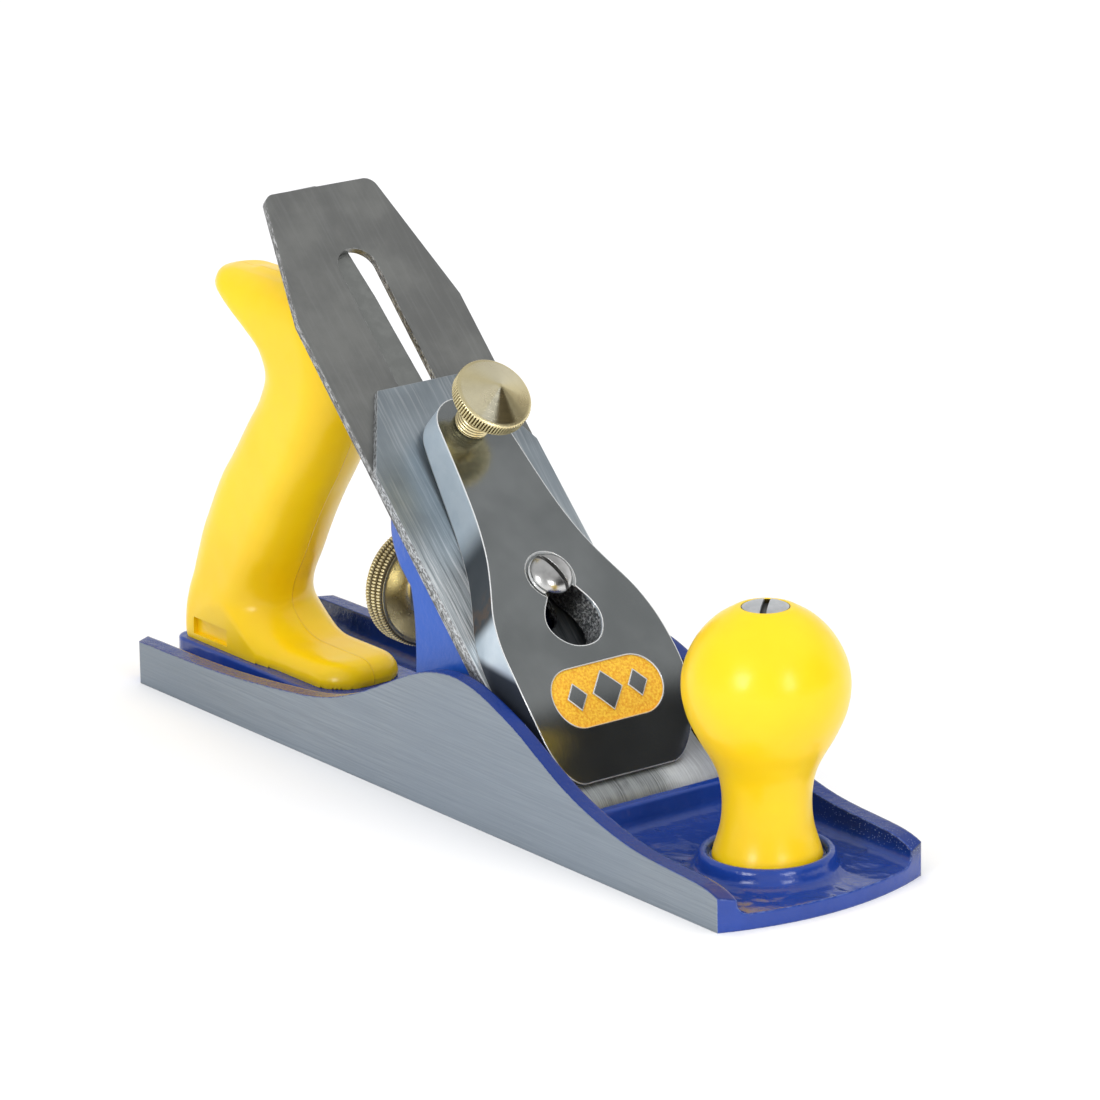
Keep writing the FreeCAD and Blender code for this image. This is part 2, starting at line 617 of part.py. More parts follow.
# Hump of the cap iron, towards its edge and back inside: (s, h)
CAP_IRON_OUTER = [(24.5, CAP_TOP_H), (20.5, 4.3), (17.0, 5.05), (14.2, 5.95), (11.4, 6.7),
                  (8.6, 6.85), (6.0, 5.95), (3.8, 4.1), (2.15, IRON_T)]
CAP_IRON_INNER = [(3.2, IRON_T), (4.8, 3.2), (6.7, 4.45), (8.8, 4.9), (11.2, 4.65),
                  (14.0, 3.85), (17.2, 2.95), (20.9, 2.25), (25.0, IRON_T)]


def cutting_iron():
    iron = sy_prism([
        (IRON_EDGE_S, -IRON_HW), (IRON_EDGE_S, IRON_HW), (IRON_SHOULDER_S, IRON_HW),
        (IRON_TOP_S, IRON_TOP_HW), (IRON_TOP_S, -IRON_TOP_HW), (IRON_SHOULDER_S, -IRON_HW),
    ], 0, IRON_T)
    iron = fillet(iron, 3.4, lambda e: runs_along(e, Z_AXIS) and e.BoundBox.Center.x < -190)
    iron = iron.cut(bed_slot(IRON_SLOT_S0, IRON_SLOT_S1, IRON_SLOT_HW, -1, 3))
    iron = iron.cut(bed_cylinder(56, -1, 8.0, 4))
    slope = math.tan(math.radians(IRON_BEVEL))
    edge_x = -IRON_EDGE_S
    bevel = [(edge_x + 3, IRON_T + 3 * slope), (edge_x - 6, IRON_T - 6 * slope),
             (edge_x - 6, -3), (3, -3)]
    iron = iron.cut(xz_prism(bevel, -30, 30))
    iron.rotate(Vector(-IRON_SKEW_S, 0, 0), Z_AXIS, -IRON_SKEW)
    return on_bed(iron)


def cap_iron():
    section = outline_face(
        (lines, [(CAP_IRON_TOP_S, CAP_TOP_H)]), (spline, CAP_IRON_OUTER),
        (spline, CAP_IRON_INNER), (lines, [(CAP_IRON_TOP_S, IRON_T)]), plane=in_sh)
    cap = prism_y(section, -IRON_HW, IRON_HW)
    cap = cap.common(sy_prism([
        (0, -IRON_HW), (0, IRON_HW), (109.6, IRON_HW), (CAP_IRON_TOP_S, 12.7),
        (CAP_IRON_TOP_S, -12.7), (109.6, -IRON_HW)], IRON_T, 12))
    # slot, cap screw hole and window for the yoke finger
    cap = cap.cut(bed_slot(57.5, 74.5, 4.7, 0, 6))
    cap = cap.cut(bed_cylinder(CAP_SCREW_S, 0, CAP_SCREW_R + RUN, 6))
    cap = cap.cut(bed_block(YOKE_S - 1.8, YOKE_S + 1.8, 5.6, 0, 6))
    return on_bed(cap)


def cap_iron_screw():
    screw = turned_z(-CAP_SCREW_S, (lines, [
        (0, -3.4), (6.0, -3.4), (6.8, -2.8), (6.8, -0.03), (CAP_SCREW_R, -0.03),
        (CAP_SCREW_R, 4.2), (3.4, 4.6), (0, 4.6)]))
    return on_bed(screw.cut(bed_block(CAP_SCREW_S - 0.6, CAP_SCREW_S + 0.6, 7, -4, -2.2)))


# ------------------------------------------------------------------ lever cap
# Plan: (s, half width)
LEVER_HALF = [
    (14.1, 14.0), (15.0, 16.2), (17.2, 18.7), (20.5, 20.9), (25.0, 22.8), (30.0, 23.8),
    (37.0, 24.4), (44.0, 24.3), (50.0, 23.9), (55.0, 23.0), (60.0, 21.5), (65.0, 19.3),
    (70.0, 17.1), (75.0, 15.2), (80.0, 13.8), (85.0, 12.7), (90.0, 11.9), (96.0, 11.15),
    (102.0, 10.5), (108.0, 9.9), (113.0, 9.3),
]
LEVER_TOP_S = 120.3
# Side view: (s, h)
LEVER_NOSE = [(12.5, 6.55), (14.1, 7.15), (17.0, 8.35), (21.0, 10.2), (26.0, 12.3),
              (31.0, 13.85), (36.0, 14.75), (41.0, 15.18), (46.0, LEVER_TOP_H)]
LEVER_UPPER = [(102.0, LEVER_TOP_H), (108.0, LEVER_TOP_H - 0.05),
               (115.0, LEVER_TOP_H - 0.35), (122.0, LEVER_TOP_H - 1.0)]
LEVER_SEAT_H = CAP_TOP_H + 0.08
LEVER_UNDER_TOP = [(122.0, 7.0), (112.0, 5.9), (100.0, 4.85), (88.0, 4.25),
                   (80.0, LEVER_SEAT_H)]
LEVER_UNDER_NOSE = [(26.0, LEVER_SEAT_H), (21.0, 4.65), (17.4, 5.45), (14.2, 6.3), (12.5, 6.5)]
ROOF_H = LEVER_TOP_H - 5.2           # roof of the hollow underneath
HOLLOW_NOSE = [(24.0, 4.0), (25.5, 5.6), (30.0, 8.0), (37.0, 9.6), (46.0, ROOF_H)]
# Key-shaped hole in plan, large opening below and narrow seat above: (s, y)
KEY_LARGE = [
    (61.6, -3.7), (60.2, -4.8), (57.8, -6.6), (54.0, -7.9), (50.2, -6.7), (47.4, -3.6),
    (46.5, 0.3), (47.3, 4.0), (50.1, 6.9), (54.3, 8.3), (59.0, 7.3), (63.0, 5.2), (66.6, 4.1),
]
KEY_SEAT = [(66.6, 4.1), (71.1, 0), (67.0, -4.1)]
KEY_NECK = [(67.0, -4.1), (64.3, -3.5), (61.6, -3.7)]
PANEL_S0, PANEL_S1, PANEL_HW, PANEL_DEPTH = 26.5, 41.5, 16.5, 0.45
# Raised lozenges in the panel: (y, half length up the bed, half length across)
LOZENGES = [(0, 5.2, 4.6), (-9.3, 3.6, 3.0), (9.3, 3.6, 3.0)]


def lever_plan(inset=0.0):
    right = [(s, w - inset) for s, w in LEVER_HALF]
    left = mirrored(right)[len(right):]
    top = LEVER_TOP_S - inset
    end_s, end_w = right[-1]
    arc_s, arc_w = end_s + (top - end_s) * 0.74, end_w * 0.68
    return outline_face(
        (spline, right),
        (arc, [right[-1], (arc_s, arc_w), (top, 0)]),
        (arc, [(top, 0), (arc_s, -arc_w), left[0]]),
        (spline, left), plane=in_sy)


def sunk_panel():
    """Cutter for the sunk panel across the nose, sparing the lozenges."""
    radius = (PANEL_S1 - PANEL_S0) / 2
    centre_s = (PANEL_S0 + PANEL_S1) / 2
    panel = slot(-centre_s, 0, PANEL_HW - radius, radius, 0, 20, along=Y_AXIS)
    bars = None
    for y, up, across in LOZENGES:
        bar = sy_prism([(centre_s + up, y), (centre_s, y + across), (centre_s - up, y),
                        (centre_s, y - across)], 0, 20)
        bars = bar if bars is None else bars.fuse(bar)
    band = outline_face(
        (spline, [(s, h - PANEL_DEPTH) for s, h in LEVER_NOSE]),
        (lines, [(46.0, LEVER_TOP_H + 3), (12.5, LEVER_TOP_H + 3)]), plane=in_sh)
    return panel.cut(bars).common(prism_y(band, -30, 30))


def lever_cap():
    side_view = outline_face(
        (spline, LEVER_NOSE), (spline, LEVER_UPPER), (spline, LEVER_UNDER_TOP),
        (spline, LEVER_UNDER_NOSE), plane=in_sh)
    cap = lever_plan().extrude(Vector(0, 0, 20)).common(prism_y(side_view, -30, 30))
    hollow_view = outline_face(
        (spline, HOLLOW_NOSE),
        (lines, [(104.0, ROOF_H), (122.0, ROOF_H), (122.0, 2.0), (24.0, 2.0)]), plane=in_sh)
    hollow = lever_plan(inset=2.3).extrude(Vector(0, 0, 20))
    hollow = hollow.common(prism_y(hollow_view, -30, 30))
    # the metal round the key-shaped hole is left deep
    hollow = hollow.cut(bed_slot(43.6, 73.2, 10.2, 5.4, 25))
    cap = cap.cut(hollow)
    key = outline_face((spline, KEY_LARGE), (arc, KEY_SEAT), (arc, KEY_NECK), plane=in_sy)
    cap = cap.cut(key.extrude(Vector(0, 0, 25)))
    # groove round the screw head
    ring = bed_cylinder(LEVER_SCREW_S, LEVER_TOP_H - 0.45, 6.75, 3)
    cap = cap.cut(ring.cut(bed_cylinder(LEVER_SCREW_S, LEVER_TOP_H - 1, 5.6, 4)))
    cap = cap.cut(bed_cylinder(THUMB_S, 0, THUMB_HOLE_R, 30))
    cap = cap.cut(sunk_panel())
    return on_bed(cap.removeSplitter())


def lever_cap_screw():
    """Domed screw, its slot turned off the bed line."""
    head_h = LEVER_TOP_H + 0.06
    shank_r = LEVER_SCREW_R
    dome = [(5.7, head_h + 0.8), (4.9, head_h + 1.9), (3.5, head_h + 2.75),
            (1.8, head_h + 3.2), (0, head_h + 3.32)]
    screw = turned_z(
        -LEVER_SCREW_S,
        (lines, [(0, -11.0), (2.6, -11.0), (shank_r, -10.2), (shank_r, head_h),
                 (5.5, head_h), (5.75, head_h + 0.35)]),
        (spline, dome))
    return on_bed(screw.cut(driver_slot(-LEVER_SCREW_S, 0.65, head_h + 1.5, head_h + 6, 20)))


def lever_cap_thumbscrew():
    """Coned head, shoulder, shank and reduced point."""
    head_h = 25.7
    shank_r = THUMB_HOLE_R - RUN
    return on_bed(turned_z(-THUMB_S, (lines, [
        (0, 4.1), (2.2, 4.1), (2.7, 4.6), (2.7, 7.6), (shank_r, 8.8), (shank_r, 15.5),
        (4.3, 15.55), (4.7, 15.9), (4.7, head_h - 0.7), (5.2, head_h), (9.6, head_h),
        (10.2, head_h + 0.5), (10.2, head_h + 3.7), (9.8, head_h + 4.1), (0.9, head_h + 7.6),
        (0, head_h + 7.75)])))


# ------------------------------------------------------------------ front knob
# (radius, z)
KNOB_PROFILE = [
    (13.4, 7.6), (12.9, 9.4), (12.2, 11.6), (11.3, 15.0), (10.85, 19.0), (10.95, 23.4),
    (11.8, 28.1), (13.6, 32.2), (16.6, 37.4), (19.2, 43.2), (20.3, 49.4), (19.5, 55.4),
    (16.6, 61.4), (12.4, 66.0), (7.6, 69.0),
]


def front_knob():
    knob = turned_z(
        KNOB_X, (lines, [(0, KNOB_SEAT_Z), (13.5, KNOB_SEAT_Z)]), (spline, KNOB_PROFILE),
        (lines, [(6.4, 69.4), (0, 69.4)]))
    knob = knob.cut(cylinder_z(KNOB_X, 0, 60, 5.8, 20))
    return knob.cut(cylinder_z(KNOB_X, 0, 0, KNOB_STUD_R + BORE_CLEAR, 80))


def knob_stud():
    return cylinder_z(KNOB_X, 0, 2.0, KNOB_STUD_R, 62.0)


def knob_nut():
    nut = turned_z(KNOB_X, (lines, [
        (0, 64.0), (0, 70.1), (2.5, 70.05), (4.6, 69.85), (5.7, 69.3), (5.75, 60.0),
        (KNOB_STUD_R, 60.0), (KNOB_STUD_R, 64.0)]))
    return nut.cut(driver_slot(KNOB_X, 0.8, 68.2, 72, -45))


# ------------------------------------------------------------------ rear handle
# Level sections of the grip: (z, rear x, front x, half thickness, rear corner radius);
# the front is fully rounded.
GRIP = [
    (PLATFORM_Z, -129.3, -95.5, 14.0, 5.5),
    (11.5, -129.5, -95.5, 13.9, 5.5),
    (14.6, -129.7, -95.4, 13.7, 5.8),
    (17.5, -129.8, -96.0, 13.5, 6.3),
    (21.5, -129.8, -96.9, 13.2, 7.8),
    (27.0, -129.3, -95.2, 12.9, 10.4),
    (36.0, -127.1, -90.0, 12.6, 11.8),
    (46.0, -122.3, -84.3, 12.4, 12.0),
    (55.0, -117.1, -78.4, 12.3, 12.0),
    (63.0, -110.8, -72.6, 12.3, 12.0),
    (72.0, -104.3, -67.0, 12.2, 12.0),
    (80.0, -98.3, -62.7, 12.2, 12.0),
    (87.0, -95.6, -60.3, 12.2, 12.0),
    (93.0, -98.0, -59.8, 12.2, 11.9),
    (98.5, -105.8, -61.2, 12.0, 11.5),
    (103.0, -113.8, -64.4, 11.4, 10.6),
    (107.0, -119.1, -69.0, 10.0, 9.6),
    (109.4, -118.9, -73.6, 7.8, 7.5),
    (110.9, -114.4, -79.5, 4.8, 4.5),
]
GRIP_FLAT = 0.3          # half of the flat left between two fully rounded corners
# Curve that fairs the grip into the foot: (x, z)
WEB_CURVE = [(-96.0, 30.5), (-96.3, 25.5), (-94.6, 20.8), (-89.8, 16.8), (-82.5, 14.9),
             (-76.0, 14.3)]
FOOT_REAR_X, FOOT_FRONT_X, FOOT_HW, FOOT_TOP_Z = -118, -60.2, 12.5, 14.7


def grip_section(z, rear_x, front_x, half, rear_r):
    """Rounded rectangle; the corners run round from front -Y to rear -Y."""
    front_r = half - GRIP_FLAT
    rear_r = min(rear_r, front_r)
    front = (front_x - front_r, half - front_r, front_r)
    rear = (rear_x + rear_r, half - rear_r, rear_r)
    quarter = math.pi / 2
    corners = []
    for i, ((x, y, radius), side) in enumerate(((front, -1), (front, 1), (rear, 1), (rear, -1))):
        angles = [(i - 1 + step) * quarter for step in (0, 0.5, 1)]
        corners.append([Vector(x + radius * math.cos(a), side * y + radius * math.sin(a), z)
                        for a in angles])
    edges = []
    for corner, following in zip(corners, corners[1:] + corners[:1]):
        edges += arc(corner) + lines([corner[2], following[0]])
    return Part.Wire(edges)


def rear_handle():
    grip = Part.makeLoft([grip_section(*row) for row in GRIP], True, False)
    foot = block(FOOT_REAR_X, FOOT_FRONT_X, FOOT_HW, PLATFORM_Z, FOOT_TOP_Z)
    foot = fillet(foot, 10.0, lambda e: runs_along(e, Z_AXIS) and e.BoundBox.Center.x > -70)
    foot = fillet(foot, 6.0, lambda e: (e.BoundBox.ZMin > FOOT_TOP_Z - 0.01
                                        and e.BoundBox.XMax > FOOT_REAR_X + 0.1))
    web = outline_face(
        (lines, [(-100, PLATFORM_Z + 1), (-100, 34)]), (spline, WEB_CURVE),
        (lines, [(-76.0, PLATFORM_Z + 1)]))
    handle = grip.fuse(foot)
    handle = handle.fuse(prism_y(web, -7.5, 7.5))
    handle = handle.removeSplitter()
    handle = handle.cut(rod_cylinder(ROD_R + BORE_CLEAR, -10, 140))
    return handle.cut(rod_cylinder(6.4, NUT_START, 40))


def handle_rod():
    return rod_cylinder(ROD_R, 0, ROD_END + 1.5)


def handle_nut():
    nut = rod_cylinder(6.2, NUT_START, 5.2)
    upper_z = (ROD_FOOT + ROD_DIR * (ROD_END + 1.0)).z
    nut = chamfer(nut, 0.6, lambda e: e.Length > 30 and e.BoundBox.Center.z > upper_z)
    return nut.cut(rod_cylinder(ROD_R, NUT_START, 3.0))


# ------------------------------------------------------------------ export
# Each file is named after the function that builds the piece.
PIECES = (
    plane_body, frog, frog_screws, frog_screw_washers, frog_adjust_screw, frog_adjust_plate,
    frog_plate_screw, depth_stud, depth_wheel, yoke_lever, yoke_pin, lateral_lever,
    lateral_roller_rivet, lateral_roller, lateral_pivot, cutting_iron, cap_iron,
    cap_iron_screw, lever_cap, lever_cap_screw, lever_cap_thumbscrew, front_knob, knob_stud,
    knob_nut, rear_handle, handle_rod, handle_nut,
)
for build in PIECES:
    piece = single_solid(build())
    piece.translate(Vector(X_SHIFT, 0, 0))
    piece.exportStep("parts/%s.step" % build.__name__)
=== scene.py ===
"""Metal bench plane, standing on its sole.

The sole lies on z = 0 with its length along X: knob and toe towards +X, handle towards -X.
Y runs across the body, and y = 0 is its middle plane. The iron lies on a 45 degree bed that
rises towards -X. Lengths are millimetres until they are written to a mesh, light or camera.
"""

import math
from itertools import product
from types import SimpleNamespace

import bpy
import bmesh
import numpy as np
from mathutils import Matrix, Vector


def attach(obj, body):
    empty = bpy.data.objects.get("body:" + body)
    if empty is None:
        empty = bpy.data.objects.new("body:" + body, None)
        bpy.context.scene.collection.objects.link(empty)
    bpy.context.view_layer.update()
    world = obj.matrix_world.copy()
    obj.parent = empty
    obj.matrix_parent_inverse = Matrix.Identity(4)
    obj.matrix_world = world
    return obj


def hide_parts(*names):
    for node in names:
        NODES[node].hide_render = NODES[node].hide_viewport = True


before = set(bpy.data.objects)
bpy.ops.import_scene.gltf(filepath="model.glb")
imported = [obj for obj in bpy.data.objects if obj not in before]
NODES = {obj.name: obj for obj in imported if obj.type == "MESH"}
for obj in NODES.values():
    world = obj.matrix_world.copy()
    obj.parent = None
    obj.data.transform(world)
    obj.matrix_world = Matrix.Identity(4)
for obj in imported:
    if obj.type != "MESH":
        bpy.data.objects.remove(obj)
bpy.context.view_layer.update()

MM = 0.001                          # metres in a millimetre
TURN = 2 * math.pi
COS45 = math.sqrt(0.5)

DATUM_X = 1.0                       # drawing datum to origin
EDGE_X = 55.2 + DATUM_X             # where the iron's upper face meets the sole plane
IRON_THICKNESS = 2.0
BED_NORMAL = np.array([COS45, 0.0, COS45])
BED_UP = np.array([-COS45, 0.0, COS45])
Y_AXIS = np.array([0.0, 1.0, 0.0])
BED_ORIGIN = np.array([EDGE_X, 0.0, 0.0]) - IRON_THICKNESS * BED_NORMAL

CAP_SCREW_UP_BED = 67.0             # lever cap screw, distance up the bed
CAP_SCREW_SLOT_ANGLE = math.radians(20)
THUMB_CENTRE = BED_ORIGIN + 112.0 * BED_UP
THUMB_HEAD = 25.7                   # underside of the thumbscrew head above the bed
KNOB_X = 102.0 + DATUM_X
WHEEL_CENTRE = np.array([0.0, 0.0, 41.0])
WHEEL_REAR = -41.4 + DATUM_X        # rim of the depth wheel
WHEEL_FRONT = -34.2 + DATUM_X


# ------------------------------------------------------------------ mesh helpers
def link_object(name, data):
    obj = bpy.data.objects.new(name, data)
    bpy.context.scene.collection.objects.link(obj)
    return obj


def unit(vector):
    vector = np.array(vector, float)
    return vector / np.linalg.norm(vector)


def mesh_object(name, verts, faces, sharp=35.0):
    """Object from vertices in mm, welded, with its normals facing out."""
    mesh = bpy.data.meshes.new(name)
    points = [tuple(float(c) * MM for c in vert) for vert in verts]
    mesh.from_pydata(points, [], [tuple(int(i) for i in face) for face in faces])
    mesh.update()
    obj = link_object(name, mesh)
    bm = bmesh.new()
    bm.from_mesh(mesh)
    bmesh.ops.remove_doubles(bm, verts=bm.verts, dist=1e-7)
    bmesh.ops.recalc_face_normals(bm, faces=bm.faces)
    bm.to_mesh(mesh)
    bm.free()
    shade_smooth(obj, sharp)
    return obj


def shade_smooth(obj, sharp):
    """Smooth shading, broken at open edges and at edges steeper than sharp degrees."""
    bm = bmesh.new()
    bm.from_mesh(obj.data)
    limit = math.radians(sharp)
    for face in bm.faces:
        face.smooth = True
    for edge in bm.edges:
        edge.smooth = len(edge.link_faces) == 2 and edge.calc_face_angle(0.0) <= limit
    bm.to_mesh(obj.data)
    bm.free()
    obj.data.update()


def lathe(name, profile, centre, axis, segments, shape=None, sharp=35.0):
    """Turn a profile of (radius, distance along the axis).

    A zero radius makes a tip; a profile open at both ends is joined end to end.
    shape(radius, along, angle, station) may change the radius of a vertex.
    """
    axis = unit(axis)
    side = unit(np.cross(Y_AXIS, axis))
    other_side = np.cross(axis, side)
    centre = np.array(centre, float)
    verts, faces, rings = [], [], []
    for station, (radius, along) in enumerate(profile):
        if radius <= 1e-6:
            rings.append([len(verts)])
            verts.append(centre + along * axis)
            continue
        ring = []
        for j in range(segments):
            angle = TURN * j / segments
            r = shape(radius, along, angle, station) if shape else radius
            ring.append(len(verts))
            outward = math.cos(angle) * side + math.sin(angle) * other_side
            verts.append(centre + along * axis + r * outward)
        rings.append(ring)
    pairs = list(zip(rings, rings[1:]))
    if len(rings[0]) > 1 and len(rings[-1]) > 1:
        pairs.append((rings[-1], rings[0]))
    for low, high in pairs:
        for j in range(segments):
            k = (j + 1) % segments
            if len(low) == 1:
                faces.append((low[0], high[k], high[j]))
            elif len(high) == 1:
                faces.append((low[j], low[k], high[0]))
            else:
                faces.append((low[j], low[k], high[k], high[j]))
    return mesh_object(name, verts, faces, sharp)


def subdivide(profile, step):
    """Split the straight runs of a profile into pieces of about step."""
    points = [profile[0]]
    for (r0, t0), (r1, t1) in zip(profile, profile[1:]):
        count = max(1, int(math.hypot(r1 - r0, t1 - t0) / step))
        for i in range(1, count + 1):
            points.append((r0 + (r1 - r0) * i / count, t0 + (t1 - t0) * i / count))
    return points


def catmull_rom(points, steps):
    """Smooth curve through the points, with steps pieces per span."""
    points = [np.array(p, float) for p in points]
    curve = []
    for i in range(len(points) - 1):
        before = points[max(i - 1, 0)]
        start, end = points[i], points[i + 1]
        after = points[min(i + 2, len(points) - 1)]
        for k in range(steps):
            t = k / steps
            curve.append(0.5 * (2 * start + (end - before) * t
                                + (2 * before - 5 * start + 4 * end - after) * t * t
                                + (3 * start - before - 3 * end + after) * t ** 3))
    curve.append(points[-1])
    return [tuple(p) for p in curve]


def apply_modifiers(obj):
    bpy.context.view_layer.update()
    depsgraph = bpy.context.evaluated_depsgraph_get()
    mesh = bpy.data.meshes.new_from_object(obj.evaluated_get(depsgraph), depsgraph=depsgraph)
    old_mesh = obj.data
    obj.modifiers.clear()
    obj.data = mesh
    bpy.data.meshes.remove(old_mesh)


def cut_away(obj, cutter):
    modifier = obj.modifiers.new("cut", "BOOLEAN")
    modifier.operation = "DIFFERENCE"
    modifier.solver = "EXACT"
    modifier.object = cutter
    apply_modifiers(obj)
    bpy.data.objects.remove(cutter)


def box(name, centre, size):
    mesh = bpy.data.meshes.new(name)
    bm = bmesh.new()
    bmesh.ops.create_cube(bm, size=1.0)
    for vert in bm.verts:
        vert.co = Vector([(c + v * s) * MM for c, v, s in zip(centre, vert.co, size)])
    bm.to_mesh(mesh)
    bm.free()
    return link_object(name, mesh)


def face_islands(bm):
    """Connected groups of faces, largest first."""
    bm.faces.index_update()
    seen, islands = set(), []
    for first in bm.faces:
        if first.index in seen:
            continue
        stack, island = [first], []
        seen.add(first.index)
        while stack:
            face = stack.pop()
            island.append(face)
            for edge in face.edges:
                for neighbour in edge.link_faces:
                    if neighbour.index not in seen:
                        seen.add(neighbour.index)
                        stack.append(neighbour)
        islands.append(island)
    return sorted(islands, key=len, reverse=True)


def clean(obj, dist=0.00003):
    """Weld slivers left by cuts, keep the largest body, and close pinholes."""
    bm = bmesh.new()
    bm.from_mesh(obj.data)
    bmesh.ops.remove_doubles(bm, verts=bm.verts[:], dist=dist)
    for sliver in (dist, dist * 0.5):
        bmesh.ops.dissolve_degenerate(bm, edges=bm.edges[:], dist=sliver)
        bmesh.ops.triangulate(bm, faces=bm.faces[:])
    for island in face_islands(bm)[1:]:
        bmesh.ops.delete(bm, geom=island, context="FACES")
    holes = [edge for edge in bm.edges if len(edge.link_faces) == 1]
    if holes:
        bmesh.ops.holes_fill(bm, edges=holes, sides=0)
    loose = [vert for vert in bm.verts if not vert.link_faces]
    bmesh.ops.delete(bm, geom=loose, context="VERTS")
    bmesh.ops.triangulate(bm, faces=bm.faces[:])
    bmesh.ops.recalc_face_normals(bm, faces=bm.faces[:])
    bm.to_mesh(obj.data)
    bm.free()
    obj.data.update()


# ------------------------------------------------------------------ shader helpers
class Signal:
    """Output of a shader node. Arithmetic on it adds Math nodes."""

    def __init__(self, socket):
        self.socket = socket

    def __add__(self, other):
        return math_node("ADD", self, other)

    def __radd__(self, other):
        return math_node("ADD", other, self)

    def __sub__(self, other):
        return math_node("SUBTRACT", self, other)

    def __rsub__(self, other):
        return math_node("SUBTRACT", other, self)

    def __mul__(self, other):
        return math_node("MULTIPLY", self, other)

    def __rmul__(self, other):
        return math_node("MULTIPLY", other, self)

    def __abs__(self):
        return math_node("ABSOLUTE", self, 0.0)

    def remap(self, low, high, to_low, to_high, interpolation="LINEAR"):
        inputs = {"Value": self, "From Min": low, "From Max": high,
                  "To Min": to_low, "To Max": to_high}
        return add_node("MapRange", inputs, interpolation_type=interpolation)

    def step(self, zero_at, one_at):
        """Smooth mask: 0 at the first level, 1 at the second, in either order."""
        if one_at >= zero_at:
            return self.remap(zero_at, one_at, 0.0, 1.0, "SMOOTHSTEP")
        return self.remap(one_at, zero_at, 1.0, 0.0, "SMOOTHSTEP")

    def tint(self, amount, red, green, blue):
        """This colour mixed by amount towards an sRGB colour (0 to 255)."""
        return mix(amount, self, srgb(red, green, blue))


def add_node(kind, inputs, output=0, tree=None, **settings):
    """Add a shader node and return one output. The tree is taken from the inputs if not given."""
    if tree is None:
        tree = next(v.socket.id_data for v in inputs.values() if isinstance(v, Signal))
    node = tree.nodes.new("ShaderNode" + kind)
    for key, value in settings.items():
        setattr(node, key, value)
    for key, value in inputs.items():
        plug(value, node.inputs[key])
    return Signal(node.outputs[output])


def plug(value, socket):
    if isinstance(value, Signal):
        socket.id_data.links.new(value.socket, socket)
    else:
        socket.default_value = value


def math_node(operation, a, b):
    return add_node("Math", {0: a, 1: b}, operation=operation)


def maximum(a, b):
    return math_node("MAXIMUM", a, b)


def vector_math(operation, a, b=None, scale=None):
    inputs = {key: v for key, v in ((0, a), (1, b), ("Scale", scale)) if v is not None}
    output = "Value" if operation in ("DOT_PRODUCT", "LENGTH") else "Vector"
    return add_node("VectorMath", inputs, output, operation=operation)


def dot(a, b):
    return vector_math("DOT_PRODUCT", a, b)


def length(vector):
    return vector_math("LENGTH", vector)


def combine(x, y, z):
    return add_node("CombineXYZ", {0: x, 1: y, 2: z})


def split(vector):
    """The x, y and z of a vector."""
    return [Signal(s) for s in add_node("SeparateXYZ", {0: vector}).socket.node.outputs]


def transform(vector, kind, source, target):
    return add_node("VectorTransform", {0: vector}, vector_type=kind, convert_from=source,
                    convert_to=target)


def mix(factor, a, b, data_type="RGBA"):
    index = ("FLOAT", "VECTOR", "RGBA").index(data_type)
    inputs = {0: factor, 2 + 2 * index: a, 3 + 2 * index: b}
    return add_node("Mix", inputs, index, data_type=data_type)


def mix_value(factor, a, b):
    return mix(factor, a, b, "FLOAT")


def bump(height, distance, normal=None, strength=1.0):
    """Bumped normal; distance is the relief in mm."""
    inputs = {"Strength": strength, "Distance": distance * MM, "Height": height}
    if normal is not None:
        inputs["Normal"] = normal
    return add_node("Bump", inputs)


def srgb(*channels):
    """Linear colour from sRGB channels, 0 to 255."""
    def linear(c):
        c = c / 255.0
        return c / 12.92 if c <= 0.04045 else ((c + 0.055) / 1.055) ** 2.4
    return tuple(linear(c) for c in channels) + (1.0,)


